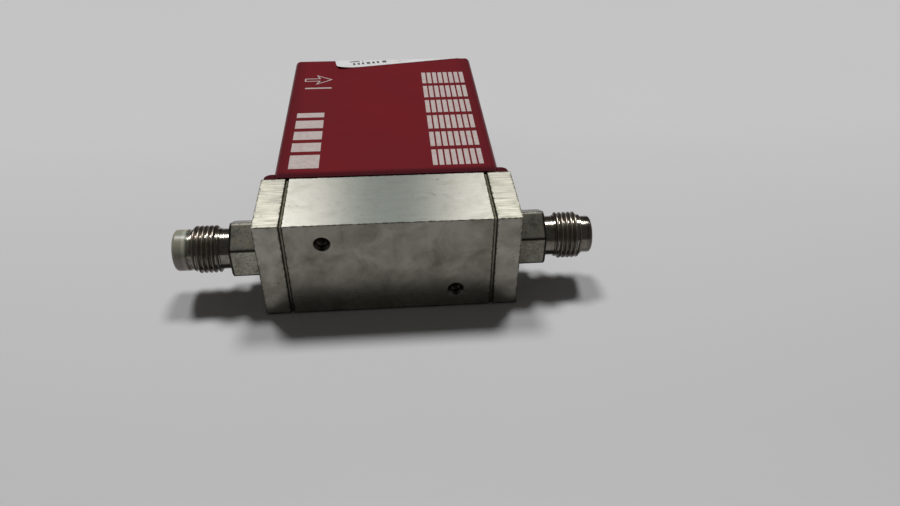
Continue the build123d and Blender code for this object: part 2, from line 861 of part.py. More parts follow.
def make_board_chips():
    rows = [base_depth + chip_row_start + index * chip_row_pitch for index in range(chip_count)]
    chip_x = -board_half + chip_inset
    chips = [chip(chip_x, y, chip_size) for y in rows]
    chips.append(chip(chip_x + small_chip_offset, rows[1], small_chip_size))
    return group(chips)


def make_board_capacitors():
    """Cans in the row beyond the top of the valve."""
    layer = (board_face - capacitor_height, board_face)
    cans = []
    for index in range(capacitor_count):
        x = valve_x + (index - (capacitor_count - 1) / 2) * capacitor_pitch
        can = rod_z(capacitor_radius, layer, x, board_high - parts_row_inset)
        cans.append(chamfer(can.edges().sort_by(Axis.Z)[0], capacitor_edge))
    return group(cans)


def make_trimmers():
    """Multi-turn trimmers for zero, span and response, in the same row."""
    y = board_high - parts_row_inset
    end = y + trimmer_length / 2
    trimmers = []
    for index in range(trimmer_count):
        x = -board_half + trimmer_inset + index * trimmer_pitch
        body = Pos(x, y, board_face - trimmer_height / 2) * Box(trimmer_width, trimmer_length, trimmer_height)
        screw_z = board_face - trimmer_screw_depth
        trimmers.append(body + rod_y(trimmer_screw_radius, (end, end + trimmer_screw_reach), x, screw_z))
    return group(trimmers)


# ---- connector

flange_low = bridge_top
flange_high = bridge_top + connector_flange_thickness
shell_end = flange_high + connector_shell_reach
insulator_top = shell_end - connector_face_depth - pin_recess
pin_places = [
    ((index - (count - 1) / 2) * pin_pitch, side * pin_row_spacing / 2)
    for side, count in ((1, long_row_pins), (-1, long_row_pins - 1))
    for index in range(count)
]


def make_connector_shell():
    half_length = jackscrew_x + connector_flange_margin
    half_width = connector_flange_width / 2
    flange = block((-half_length, half_length), (flange_low, flange_high), (-half_width, half_width))
    shell = fillet(flange.edges().filter_by(Axis.Y), connector_flange_corner)
    full = (flange_low, shell_end)
    shell += connector_prism(connector_shell_length, connector_shell_width, connector_shell_corner, full)
    inner_length = connector_shell_length - 2 * connector_shell_wall
    inner_width = connector_shell_width - 2 * connector_shell_wall
    shell -= connector_prism(inner_length, inner_width, connector_shell_corner - connector_shell_wall, full)
    hole = jackscrew_radius + shank_clearance
    for side in (-1, 1):
        shell -= rod_y(hole, (flange_low, flange_high), side * jackscrew_x)
    return shell


def make_connector_insulator():
    low = rear_of_connector
    inset = connector_shell_wall + insulator_clearance
    length = connector_shell_length - 2 * inset
    width = connector_shell_width - 2 * inset
    corner = connector_shell_corner - inset
    body = block((-rear_length / 2, rear_length / 2), (low, flange_low), (-rear_width / 2, rear_width / 2))
    body += connector_prism(length, width, corner, (flange_low, insulator_top))
    for x, z in pin_places:
        body -= rod_y(pin_radius + pin_clearance, (low, insulator_top), x, z)
    return body


def make_connector_pins():
    pins = []
    for x, z in pin_places:
        pin = rod_y(pin_radius, (rear_of_connector, shell_end - pin_recess), x, z)
        tip = pin.edges().filter_by(GeomType.CIRCLE).sort_by(Axis.Y)[-1]
        pins.append(chamfer(tip, pin_tip_chamfer))
    return group(pins)


def make_jackscrews():
    screws = []
    for side in (-1, 1):
        head = extrude(RegularPolygon(jackscrew_hexagon / 2 / cos(pi / 6), 6), jackscrew_height)
        head = chamfer(head.edges().group_by(Axis.Z)[-1], jackscrew_chamfer)
        tapped = jackscrew_height - jackscrew_radius
        bore = Cylinder(jackscrew_radius - thread_clearance, tapped)
        head -= Pos(0, 0, jackscrew_height - tapped / 2) * bore
        screw = head + Pos(0, 0, -jackscrew_shank / 2) * Cylinder(jackscrew_radius, jackscrew_shank)
        screws.append(facing("+Y", side * jackscrew_x, cover_end, 0) * screw)
    return group(screws)


def make_jackscrew_nuts():
    """Hexagon nuts under the bridge, one on each jackscrew."""
    nuts = []
    for side in (-1, 1):
        nut = extrude(RegularPolygon(jackscrew_hexagon / 2 / cos(pi / 6), 6), nut_thickness)
        nut -= Cylinder(jackscrew_radius + thread_clearance, 4 * nut_thickness)
        low = bridge_top - frame_sheet - nut_thickness
        nuts.append(facing("+Y", side * jackscrew_x, low, 0) * nut)
    return group(nuts)


# ---- label


def make_label():
    """A turned rectangle of film with round corners, folded round the far edge of the cover."""
    side_range = (-cover_side, cover_side)
    top = cover_face + label_thickness
    end = cover_end + label_thickness
    fold_y = cover_end - cover_edge_radius
    fold_z = cover_face - cover_edge_radius
    # the film is drawn flat, measured from the line where it starts to bend
    film = Rectangle(label_length, label_width, align=(Align.MIN, Align.MIN))
    film = fillet(film.vertices(), label_corner_radius)
    start = Pos(cover_side - label_start_inset, cover_edge_radius - label_reach, 0)
    film = start * Rot(0, 0, label_turn) * film
    # on the marked face
    flat = Pos(0, fold_y, cover_face) * extrude(film, label_thickness)
    flat &= block(side_range, (base_depth, fold_y), (cover_face, top))
    # down the end face, past the length that the bend takes up
    bend_length = cover_edge_radius * pi / 2
    end_face = Pos(0, cover_end, fold_z) * Rot(-90, 0, 0) * Pos(0, -bend_length, 0)
    hanging = end_face * extrude(film, label_thickness)
    hanging &= block(side_range, (cover_end, end), (-cover_face, fold_z))
    # round the bend, where the film's outline is laid on the chord of the quarter circle
    chord = cover_edge_radius * sqrt(2)
    outline = Pos(0, -chord / 2, 0) * scale(film, by=(1, chord / bend_length, 1))
    bend_plane = Plane(origin=(0, fold_y, fold_z), x_dir=(1, 0, 0), z_dir=(0, 1, 1))
    bend = rod_x(cover_edge_radius + label_thickness, side_range, fold_y, fold_z)
    bend -= rod_x(cover_edge_radius, side_range, fold_y, fold_z)
    bend &= block(side_range, (fold_y, end), (fold_z, top))
    bend &= extrude(bend_plane * outline, 2 * cover_edge_radius)
    return flat + bend + hanging


pieces = {
    "body_block": make_body_block(),
    "inlet_block": other_end(make_end_block()),
    "outlet_block": make_end_block(),
    "inlet_seal_plate": other_end(make_seal_plate()),
    "outlet_seal_plate": make_seal_plate(),
    "inlet_seal_ring": other_end(make_seal_ring()),
    "outlet_seal_ring": make_seal_ring(),
    "inlet_block_screws": make_end_screws(-1),
    "outlet_block_screws": make_end_screws(1),
    "inlet_fitting": other_end(make_fitting()),
    "outlet_fitting": make_fitting(),
    "inlet_cap": other_end(make_inlet_cap()),
    "inlet_filter": make_inlet_filter(),
    "bypass_sleeve": make_bypass_sleeve(),
    "bypass_core": make_bypass_core(),
    "sensor_base": make_sensor_base(),
    "sensor_seals": make_sensor_seals(),
    "sensor_capillary": make_capillary(),
    "sensor_windings": make_windings(),
    "sensor_case": make_sensor_case(),
    "sensor_screws": make_sensor_screws(),
    "valve_seat": make_valve_seat(),
    "valve_spacer": make_valve_spacer(),
    "valve_diaphragm": make_diaphragm(),
    "valve_case": make_valve_case(),
    "valve_plunger": make_plunger(),
    "actuator_stack": make_stack(),
    "valve_cap": make_valve_cap(),
    "valve_lock_screw": make_lock_screw(),
    "valve_screws": make_valve_screws(),
    "cover": make_cover(),
    "cover_screws": make_cover_screws(),
    "inner_frame": make_frame(),
    "frame_screws": make_frame_screws(),
    "main_board": make_main_board(),
    "board_screws": make_board_screws(),
    "connector_board": make_connector_board(),
    "board_header": make_board_header(),
    "board_chips": make_board_chips(),
    "board_capacitors": make_board_capacitors(),
    "board_trimmers": make_trimmers(),
    "connector_shell": make_connector_shell(),
    "connector_insulator": make_connector_insulator(),
    "connector_pins": make_connector_pins(),
    "jackscrews": make_jackscrews(),
    "jackscrew_nuts": make_jackscrew_nuts(),
    "label": make_label(),
}

os.makedirs("parts", exist_ok=True)
for name, piece in pieces.items():
    export_step(piece, f"parts/{name}.step")
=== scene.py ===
import math
from functools import partial

import bmesh
import bpy
from mathutils import Matrix, Vector


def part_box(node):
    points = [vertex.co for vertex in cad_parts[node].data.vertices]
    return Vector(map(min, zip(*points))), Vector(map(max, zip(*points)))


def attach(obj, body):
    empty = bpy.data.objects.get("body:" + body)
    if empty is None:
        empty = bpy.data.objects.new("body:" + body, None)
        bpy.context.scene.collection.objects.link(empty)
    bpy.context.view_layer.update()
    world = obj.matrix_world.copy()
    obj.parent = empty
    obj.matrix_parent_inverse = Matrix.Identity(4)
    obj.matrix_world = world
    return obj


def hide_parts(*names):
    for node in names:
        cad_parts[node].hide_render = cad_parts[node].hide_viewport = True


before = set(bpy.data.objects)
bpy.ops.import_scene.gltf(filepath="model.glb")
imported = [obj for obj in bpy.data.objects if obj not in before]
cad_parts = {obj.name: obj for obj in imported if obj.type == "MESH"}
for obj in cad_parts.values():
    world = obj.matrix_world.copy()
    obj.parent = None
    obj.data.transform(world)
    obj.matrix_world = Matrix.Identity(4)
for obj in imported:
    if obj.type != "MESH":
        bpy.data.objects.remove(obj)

bl_info = {
    "name": "Mass flow controller finishes",
    "version": (1, 0, 0),
    "blender": (4, 5, 0),
    "location": "3D View > Sidebar > Flow controller",
    "description": "Dresses a thermal mass flow controller with its steel base, fittings and red cover",
    "category": "Object",
}

MM = 0.001
BODY = "root"


def linear(code):
    """An sRGB hex colour as linear red, green and blue, and opaque."""
    levels = [int(code[i:i + 2], 16) / 255 for i in (0, 2, 4)]
    return [v / 12.92 if v <= 0.04045 else ((v + 0.055) / 1.055) ** 2.4 for v in levels] + [1.0]


def span(node):
    """The lowest and highest corners of a CAD node as vectors."""
    low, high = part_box(node)
    return Vector(low), Vector(high)


# ---- places taken from the frame

END_LOW, END_HIGH = span("outlet_block")
FITTING_LOW, FITTING_HIGH = span("outlet_fitting")
COVER_LOW, COVER_HIGH = span("cover")
LABEL_TOP = span("label")[1].y
SEAM_X = (span("body_block")[1].x + END_LOW.x) / 2
MOUNTING_HOLES = ((-19.3 * MM, 9.5 * MM), (19.3 * MM, -9.5 * MM))
AXIS_Y = (FITTING_LOW.y + FITTING_HIGH.y) / 2
BASE_END = END_HIGH.x
NOSE_END = FITTING_HIGH.x
FLOOR_Z = COVER_LOW.z


# ---- sizes and colours that a user would change


def number(name, description, default, **more):
    """A number that is never negative."""
    return bpy.props.FloatProperty(name=name, description=description, default=default, min=0.0, **more)


def length(name, description, default):
    """A length in metres."""
    return number(name, description, default, unit="LENGTH")


def tilt(name, description, degrees):
    """An angle, given in degrees."""
    return number(name, description, math.radians(degrees), subtype="ANGLE")


def colour(name, description, code):
    """A colour, given as sRGB hex."""
    return bpy.props.FloatVectorProperty(
        name=name, description=description, default=linear(code), size=4, min=0.0, max=1.0, subtype="COLOR"
    )


class FittingSizes(bpy.types.PropertyGroup):
    hexagon_length: length("Hexagon length", "Length of the hexagon beyond the base", 8.8 * MM)
    hexagon_chamfer: length("Hexagon chamfer", "Turned chamfer on the outer face of the hexagon", 0.5 * MM)
    corner_flat: length("Corner flat", "How far the hexagon's corners are rounded off", 0.12 * MM)
    neck_length: length("Neck length", "Plain neck between hexagon and thread", 3.3 * MM)
    neck_radius: length("Neck radius", "Radius of the neck", 6.1 * MM)
    thread_length: length("Thread length", "Length of the threaded part", 8.3 * MM)
    thread_radius: length("Thread radius", "Radius over the crests", 7.144 * MM)
    thread_pitch: length("Thread pitch", "Eighteen threads to the inch", 25.4 / 18 * MM)
    thread_depth: length("Thread depth", "Depth from crest to root", 0.86 * MM)
    crest_width: length("Crest width", "Flat on the top of each thread", 0.24 * MM)
    nose_radius: length("Nose radius", "Radius of the plain nose", 5.68 * MM)
    nose_round: length("Nose rounding", "Rounding at the rim of the nose", 0.7 * MM)
    recess_radius: length("Recess radius", "Radius of the recess round the sealing bead", 4.6 * MM)
    recess_depth: length("Recess depth", "Depth of that recess", 0.5 * MM)
    bead_radius: length("Bead radius", "Radius of the sealing bead's section", 0.55 * MM)
    bead_circle: length("Bead circle", "Radius of the circle that the bead follows", 3.7 * MM)
    bore_radius: length("Bore radius", "Radius of the gas bore", 2.3 * MM)
    spigot_radius: length("Spigot radius", "Radius of the spigot inside the end block", 6.5 * MM)


class CoverMarks(bpy.types.PropertyGroup):
    ink_thickness: length("Ink thickness", "Thickness of the printed marks", 0.03 * MM)
    line_width: length("Line width", "Width of the arrow's outline", 0.5 * MM)
    ladder_count: bpy.props.IntProperty(
        name="Ladder rungs", description="Striped blocks in the scale at the outlet side", default=6, min=1
    )
    ladder_pitch: length("Ladder pitch", "Distance from rung to rung", 11.9 * MM)
    rung_height: length("Rung height", "Height of a rung along the cover", 9.6 * MM)


class LabelSizes(bpy.types.PropertyGroup):
    film_thickness: length("Film thickness", "Thickness of the folded label", 0.12 * MM)
    film_length: length("Film length", "Length of the label before it is folded", 50.0 * MM)
    film_width: length("Film width", "Width of the label before it is folded", 12.0 * MM)
    corner_radius: length("Corner radius", "Radius of the label's corners", 2.2 * MM)
    corner_lift: length("Corner lift", "How far the near left corner has come unstuck", 0.75 * MM)
    fold_radius: length("Fold radius", "Radius of the cover's far edge under the film", 2.0 * MM)


class Finishes(bpy.types.PropertyGroup):
    block_steel: colour("Block steel", "Milled stainless steel of the base", "a09e96")
    fitting_steel: colour("Fitting steel", "Turned stainless steel of the fittings", "8e8a82")
    cover_red: colour("Cover red", "Red anodised sheet of the cover", "6e1a21")
    ink: colour("Ink", "Pale screen print on the cover", "b5aaa6")
    label_film: colour("Label film", "White polyester film", "dcdcdc")
    cap_plastic: colour("Cap plastic", "Milky polythene of the inlet cap", "8e8e7e")
    table: colour("Table", "Pale table top", "c6c6c7")


class StageSettings(bpy.types.PropertyGroup):
    focal_length: number("Focal length", "Focal length on a 36 mm wide sensor, in millimetres", 28.69)
    lamp_level: number("Lamp level", "Strength of each of the two overhead lamps", 1.5)
    lamp_spread: tilt("Lamp spread", "How far each lamp leans to its side", 12)
    lamp_lean: tilt("Lamp lean", "How far both lamps stand behind the object", 22.5)
    lamp_size: tilt("Lamp size", "Angle that each lamp covers", 11.5)
    fill_level: number("Fill level", "Strength of the light from all round", 0.085)


GROUPS = {
    "mfc_fitting": FittingSizes,
    "mfc_marks": CoverMarks,
    "mfc_label": LabelSizes,
    "mfc_finish": Finishes,
    "mfc_stage": StageSettings,
}


# ---- nodes and meshes


def add(tree, kind, inputs=(), **settings):
    """Adds a node, a shader's by its short name, with inputs by name or in order, and returns its outputs."""
    node = tree.nodes.new(kind if "Node" in kind else "ShaderNode" + kind)
    for name, value in settings.items():
        setattr(node, name, value)
    for key, value in inputs.items() if isinstance(inputs, dict) else enumerate(inputs):
        if isinstance(value, bpy.types.NodeSocket):
            tree.links.new(value, node.inputs[key])
        else:
            node.inputs[key].default_value = value
    return node.outputs


def new_material(name):
    """An empty material, what adds nodes to it and the place of each point in the frame."""
    material = bpy.data.materials.new(name)
    material.use_nodes = True
    tree = material.node_tree
    tree.nodes.clear()
    return material, partial(add, tree), add(tree, "TexCoord")["Object"]


def shade(material, inputs, relief=None):
    """Ends a material with its shader, and its relief's strength, depth in millimetres and height if any."""
    tree = material.node_tree
    if relief:
        strength, depth, height = relief
        raised = add(tree, "Bump", {"Strength": strength, "Distance": depth * MM, "Height": height})[0]
        inputs = {**inputs, "Normal": raised}
    surface = add(tree, "BsdfPrincipled", inputs)["BSDF"]
    add(tree, "OutputMaterial", {"Surface": surface})
    return material


def scaled(tint, red, green, blue):
    """A colour with its channels multiplied, and opaque."""
    return [tint[0] * red, tint[1] * green, tint[2] * blue, 1.0]


def paint(nodes, material):
    """Gives CAD nodes a material."""
    for name in nodes:
        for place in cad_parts[name].material_slots:
            place.material = material


def turn_outwards(mesh):
    """Merges a closed mesh's doubles and points its faces outwards."""
    work = bmesh.new()
    work.from_mesh(mesh)
    bmesh.ops.remove_doubles(work, verts=work.verts, dist=1e-7)
    bmesh.ops.recalc_face_normals(work, faces=work.faces)
    work.to_mesh(mesh)
    work.free()


def make_piece(name, points, faces, material, sharp=32):
    """A closed mesh as a piece, with its normals outwards."""
    mesh = bpy.data.meshes.new(name)
    mesh.from_pydata([tuple(point) for point in points], [], faces)
    turn_outwards(mesh)
    return finish_piece(name, mesh, material, sharp)


def finish_piece(name, mesh, material, sharp=32):
    """Shades a mesh, sharp past an angle in degrees, gives it its material and seats it on the body."""
    mesh.name = name
    mesh.materials.clear()
    mesh.materials.append(material)
    mesh.shade_smooth()
    mesh.set_sharp_from_angle(angle=math.radians(sharp))
    piece = bpy.data.objects.new(name, mesh)
    bpy.context.scene.collection.objects.link(piece)
    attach(piece, BODY)
    return piece


def baked(name, tree, values):
    """Runs a Geometry Nodes tree on an empty object and returns the plain mesh it makes."""
    carrier = bpy.data.objects.new(name + "_carrier", bpy.data.meshes.new(name + "_carrier"))
    bpy.context.scene.collection.objects.link(carrier)
    modifier = carrier.modifiers.new(name, "NODES")
    modifier.node_group = tree
    sockets = {item.name: item.identifier for item in tree.interface.items_tree if item.in_out == "INPUT"}
    for key, value in values.items():
        modifier[sockets[key]] = value
    graph = bpy.context.evaluated_depsgraph_get()
    mesh = bpy.data.meshes.new_from_object(carrier.evaluated_get(graph))
    carrier.modifiers.remove(modifier)
    bpy.data.objects.remove(carrier)
    return mesh


def new_geometry_tree(name, vectors, numbers, counts):
    """A tree with named inputs of each kind and a material, what adds nodes to it, and those inputs."""
    tree = bpy.data.node_groups.new(name, "GeometryNodeTree")
    groups = (("Vector", vectors), ("Float", numbers), ("Int", counts), ("Material", ["Material"]))
    for kind, keys in groups:
        for key in keys:
            tree.interface.new_socket(key, in_out="INPUT", socket_type="NodeSocket" + kind)
    tree.interface.new_socket("Geometry", in_out="OUTPUT", socket_type="NodeSocketGeometry")
    return tree, partial(add, tree), add(tree, "NodeGroupInput")


def end_geometry_tree(tree, geometry, material):
    """Ends a tree with real geometry in its material."""
    real = add(tree, "GeometryNodeRealizeInstances", (geometry,))[0]
    done = add(tree, "GeometryNodeSetMaterial", {"Geometry": real, "Material": material})[0]
    add(tree, "NodeGroupOutput", (done,))
    return tree


def off(put, value, place):
    """How far a value lies from a place."""
    past = put("Math", (value, place), operation="SUBTRACT")[0]
    return put("Math", (past,), operation="ABSOLUTE")[0]


def stained(put, surface, *stains):
    """A colour with stains over it: each is a value, its two ends, the strength at each end and a colour."""
    for *ramp, code in stains:
        strength = put("MapRange", ramp)[0]
        surface = put("Mix", {0: strength, 6: surface, 7: linear(code)}, data_type="RGBA")[2]
    return surface


# ---- metals
# a pattern's scale of n / MM gives it n grains to the millimetre


def milled_stainless(name, node, tint, look):
    """Stainless bar, brushed along X: fine tool lines, soft clouds of tarnish, specks, darkened arrises and
    bolt-hole mouths, and painted light and reflection by which way a face turns.
    """
    line_gap, line_depth, arris_reach, painted_top_light, painted_side_light = look
    low, high = span(node)
    material, put, place = new_material(name)
    along = put("SeparateXYZ", (place,))
    centred = put("VectorMath", (place, (low + high) / 2), operation="SUBTRACT")[0]
    folded = put("VectorMath", (centred,), operation="ABSOLUTE")[0]
    inset = put("VectorMath", ((high - low) / 2, folded), operation="SUBTRACT")[0]
    depth = put("SeparateXYZ", (inset,))
    # the middle one of the three depths is the distance to the nearest arris
    lesser = put("Math", (depth[0], depth[1]), operation="MINIMUM")[0]
    greater = put("Math", (depth[0], depth[1]), operation="MAXIMUM")[0]
    upper = put("Math", (greater, depth[2]), operation="MINIMUM")[0]
    arris = put("Math", (lesser, upper), operation="MAXIMUM")[0]
    ragged = put("TexNoise", {"Vector": place, "Scale": 0.7 / MM, "Detail": 3.0})[0]
    reach = put("MapRange", (ragged, 0.35, 0.7, 0.15 * arris_reach, arris_reach))[0]
    # the mouths of the bolt holes in the mounting face are painted darker: painted shade in the holes
    hole_mouth_shade = []
    for hole_x, hole_z in MOUNTING_HOLES:
        off_x = put("Math", (along[0], hole_x), operation="SUBTRACT")[0]
        off_z = put("Math", (along[2], hole_z), operation="SUBTRACT")[0]
        to_hole = put("CombineXYZ", (off_x, off_z))[0]
        distance = put("VectorMath", (to_hole,), operation="LENGTH")["Value"]
        hole_mouth_shade.append((distance, 2.3 * MM, 2.6 * MM, 0.95, 0.0, "221f1a"))
    facing = put("NewGeometry")["Normal"]
    upward = put("SeparateXYZ", (facing,))[2]
    brushed = put("Math", (upward,), operation="ABSOLUTE")[0]
    # the tool lines are drawn out along X
    drawn_out = put("Mapping", {"Vector": place, "Scale": (0.11 / MM, 1 / line_gap, 1 / line_gap)})[0]
    lines = put("TexNoise", {"Vector": drawn_out, "Scale": 1.0, "Detail": 4.0, "Roughness": 0.6})[0]
    clouds = put(
        "TexNoise",
        {"Vector": place, "Scale": 0.12 / MM, "Detail": 6.0, "Roughness": 0.62, "Distortion": 0.5}
    )[0]
    cloud_level = put("MapRange", (clouds, 0.4, 0.7))[0]
    specks = put("TexNoise", {"Vector": place, "Scale": 0.62 / MM, "Detail": 2.0})[0]
    # painted reflection and light: the middle of a brushed face is painted bluer and darker and its ends
    # creamier, and the ground faces are painted warmer
    outward = put("Math", (along[0],), operation="ABSOLUTE")[0]
    middle = put("MapRange", (outward, 3.0 * MM, 23.0 * MM, 1.0, 0.0), interpolation_type="SMOOTHSTEP")[0]
    painted_reflection_dip = put("Math", (middle, brushed), operation="MULTIPLY")[0]
    # painted light and shade: the faces that look up and down and the other faces get tones of their own
    ground, bright = scaled(tint, *painted_side_light), scaled(tint, painted_top_light, painted_top_light, painted_top_light)
    painted_face_light = put("Mix", {0: brushed, 6: ground, 7: bright}, data_type="RGBA")[2]
    painted_reflection_tint = scaled(tint, 0.8, 0.88, 0.9)
    toned = put("Mix", {0: painted_reflection_dip, 6: painted_face_light, 7: painted_reflection_tint}, data_type="RGBA")[2]
    tarnished = put("VectorMath", (toned, (0.55, 0.56, 0.53)), operation="MULTIPLY")[0]
    mottled = put("Mix", {0: cloud_level, 6: toned, 7: tarnished}, data_type="RGBA")[2]
    line_change = put("MapRange", (lines, 0.3, 0.7, -line_depth, line_depth))[0]
    line_level = put("Math", (line_change, brushed, 1.0), operation="MULTIPLY_ADD")[0]
    surface = put("VectorMath", {0: mottled, "Scale": line_level}, operation="SCALE")[0]
    # darker along the arrises
    speckled, darkened_edges = (specks, 0.69, 0.78, 0.0, 0.5, "3a352c"), (arris, 0.0, reach, 0.95, 0.0, "23211c")
    surface = stained(put, surface, speckled, *hole_mouth_shade, darkened_edges)
    # the marked face and its opposite are brushed along X, and the other faces are ground smoother
    even = put("MapRange", (brushed, 0.0, 1.0, 0.3, 0.35))[0]
    uneven = put("MapRange", (clouds, 0.3, 0.7, -0.05, 0.05))[0]
    roughness = put("Math", (even, uneven), operation="ADD")[0]
    stretch = put("MapRange", (brushed, 0.0, 1.0, 0.1, 0.82))[0]
    across = put("VectorMath", ((1.0, 0.0, 0.01), facing), operation="CROSS_PRODUCT")[0]
    look = {"Base Color": surface, "Metallic": 1.0, "Roughness": roughness,
            "Anisotropic": stretch, "Tangent": across}
    return shade(material, look, (0.12, 0.02, lines))


def seam_stainless():
    """Thin ground plate between two blocks: olive along the top and grey down the front, toned apart as
    painted light, stained in patches.
    """
    material, put, place = new_material("seam_plate_stainless")
    facing = put("NewGeometry")["Normal"]
    upward = put("SeparateXYZ", (facing,))[2]
    flat = put("Math", (upward,), operation="ABSOLUTE")[0]
    grain = put("TexNoise", {"Vector": place, "Scale": 1.5 / MM, "Detail": 3.0})[0]
    stain = put("TexNoise", {"Vector": place, "Scale": 0.26 / MM, "Detail": 4.0})[0]
    level = put("MapRange", (stain, 0.4, 0.7))[0]
    # the top and the front are toned apart as painted light
    front, top = linear("7d796e"), linear("827e69")
    painted_face_light = put("Mix", {0: flat, 6: front, 7: top}, data_type="RGBA")[2]
    darker = put("VectorMath", (painted_face_light, (0.5, 0.5, 0.45)), operation="MULTIPLY")[0]
    patchy = put("Mix", {0: level, 6: painted_face_light, 7: darker}, data_type="RGBA")[2]
    # painted shade in the groove along both sides of the plate
    along = put("SeparateXYZ", (place,))[0]
    outward = put("Math", (along,), operation="ABSOLUTE")[0]
    off_seam = off(put, outward, SEAM_X)
    darkened_edges = stained(put, patchy, (off_seam, 0.12 * MM, 0.32 * MM, 0.0, 0.92, "171610"))
    roughness = put("MapRange", (grain, 0.3, 0.7, 0.32, 0.46))[0]
    return shade(material, {"Base Color": darkened_edges, "Metallic": 1.0, "Roughness": roughness}, (0.3, 0.02, grain))


def turned_stainless(name, tint, smooth, worn, flats, hexagon_end):
    """Stainless bar turned on a lathe: fine rings and brown stain, with painted light and shade on the drawn
    hexagon and a painted reflection on the nose.
    """
    material, put, place = new_material(name)
    along = put("SeparateXYZ", (place,))
    outward = put("Math", (along[0],), operation="ABSOLUTE")[0]
    facing = put("NewGeometry")["Normal"]
    upward = put("SeparateXYZ", (facing,))[2]
    drawn = put("MapRange", (outward, hexagon_end - 0.1 * MM, hexagon_end + 0.1 * MM, 1.0, 0.0))[0]
    rings = put(
        "TexWave", {"Vector": place, "Scale": 1.3 / MM, "Distortion": 0.6, "Detail": 2.0},
        bands_direction="X"
    )["Fac"]
    stain = put("TexNoise", {"Vector": place, "Scale": 0.33 / MM, "Detail": 5.0, "Roughness": 0.65})[0]
    stain_level = put("MapRange", (stain, 0.42, 0.68))[0]
    # the hexagon is drawn bar, duller than what is turned; its flats are toned for each end and darker where
    # a flat faces up, as painted light and shade
    painted_flat_light = scaled(tint, *flats)
    painted_upper_shade = scaled(painted_flat_light, 0.8, 0.8, 0.8)
    painted_hexagon_light = put("Mix", {0: upward, 6: painted_flat_light, 7: painted_upper_shade}, data_type="RGBA")[2]
    based = put("Mix", {0: drawn, 6: tint, 7: painted_hexagon_light}, data_type="RGBA")[2]
    browned = put("VectorMath", (based, worn), operation="MULTIPLY")[0]
    surface = put("Mix", {0: stain_level, 6: based, 7: browned}, data_type="RGBA")[2]
    grit = put("TexNoise", {"Vector": place, "Scale": 1.9 / MM, "Detail": 3.0})[0]
    turned = put("MapRange", (stain, 0.35, 0.7, smooth, smooth + 0.14))[0]
    roughness = put("Math", (drawn, 0.13, turned), operation="MULTIPLY_ADD")[0]
    height = put("Math", (rings, grit), operation="ADD")[0]
    off_rim = off(put, outward, hexagon_end - 0.3 * MM)
    above = put("Math", (along[1], AXIS_Y), operation="SUBTRACT")[0]
    bearing = put("Math", (above, along[2]), operation="ARCTAN2")[0]
    off_corner = put("Math", (bearing, math.pi / 6), operation="PINGPONG")[0]
    corner_strength = put("Math", (drawn, 0.9), operation="MULTIPLY")[0]
    # grit, painted shade just behind the hexagon's chamfer, darker lines along its corners, and a painted
    # dark reflection on the nose
    surface = stained(
        put,
        surface,
        (grit, 0.57, 0.68, 0.0, 0.7, "3d382e"),
        # painted shade behind the chamfer
        (off_rim, 0.18 * MM, 0.48 * MM, 0.95, 0.0, "1d1b17"),
        # darker along the hexagon's corners
        (off_corner, 0.02, 0.055, corner_strength, 0.0, "191815"),
        # painted dark reflection near the rim of the nose
        (outward, NOSE_END - 2.2 * MM, NOSE_END - 1.3 * MM, 0.0, 0.6, "4a4642"),
    )
    look = {"Base Color": surface, "Metallic": 1.0, "Roughness": roughness}
    return shade(material, look, (0.3, 0.015, height))


def plain_metal(name, code, dull, grain_mm, roughness_range):
    """A bright or plated metal part with a fine grain and patches that have gone dull."""
    material, put, place = new_material(name)
    grain = put("TexNoise", {"Vector": place, "Scale": 1 / (grain_mm * MM), "Detail": 3.0})[0]
    patches = put("TexNoise", {"Vector": place, "Scale": 0.16 / MM, "Detail": 4.0, "Roughness": 0.6})[0]
    coloured = stained(put, linear(code), (patches, 0.4, 0.7, 0.0, 1.0, dull))
    roughness = put("MapRange", (grain, 0.3, 0.7, *roughness_range))[0]
    look = {"Base Color": coloured, "Metallic": 1.0, "Roughness": roughness}
    return shade(material, look, (0.2, 0.01, grain))


# ---- paint, plastic and the rest


def red_anodised_sheet(tint):
    """Bead-blasted aluminium, dyed red and anodised: an even satin with a fine tooth and faint rubbing."""
    material, put, place = new_material("red_anodised_aluminium")
    along = put("SeparateXYZ", (place,))
    tooth = put("TexNoise", {"Vector": place, "Scale": 4.2 / MM, "Detail": 2.0})[0]
    clouds = put("TexNoise", {"Vector": place, "Scale": 0.038 / MM, "Detail": 4.0, "Roughness": 0.6})[0]
    cloud_level = put("MapRange", (clouds, 0.35, 0.7))[0]
    paler = scaled(tint, 0.86, 0.95, 0.95)
    surface = put("Mix", {0: cloud_level, 6: tint, 7: paler}, data_type="RGBA")[2]
    drawn_out = put(
        "Mapping",
        {"Vector": place, "Rotation": (0.0, 0.0, 0.5), "Scale": (0.16 / MM, 3.2 / MM, 0.9 / MM)}
    )[0]
    rubs = put("TexNoise", {"Vector": drawn_out, "Scale": 1.0, "Detail": 2.0})[0]
    outward = put("Math", (along[0],), operation="ABSOLUTE")[0]
    # pale rubs, painted shade along the lip over the blocks, and painted shade on the folds at both sides
    surface = stained(
        put,
        surface,
        (rubs, 0.72, 0.8, 0.0, 0.1, "a04a50"),
        (along[1], COVER_LOW.y + 1.5 * MM, COVER_LOW.y + 3.6 * MM, 0.78, 0.0, "2b0710"),
        # painted shade on the folds
        (outward, COVER_HIGH.x - 9.0 * MM, COVER_HIGH.x - 3.2 * MM, 0.0, 0.55, "45131a"),
    )
    roughness = put("MapRange", (clouds, 0.3, 0.7, 0.31, 0.36))[0]
    look = {"Base Color": surface, "Roughness": roughness, "IOR": 1.25, "Specular IOR Level": 0.3}
    return shade(material, look, (0.18, 0.01, tooth))


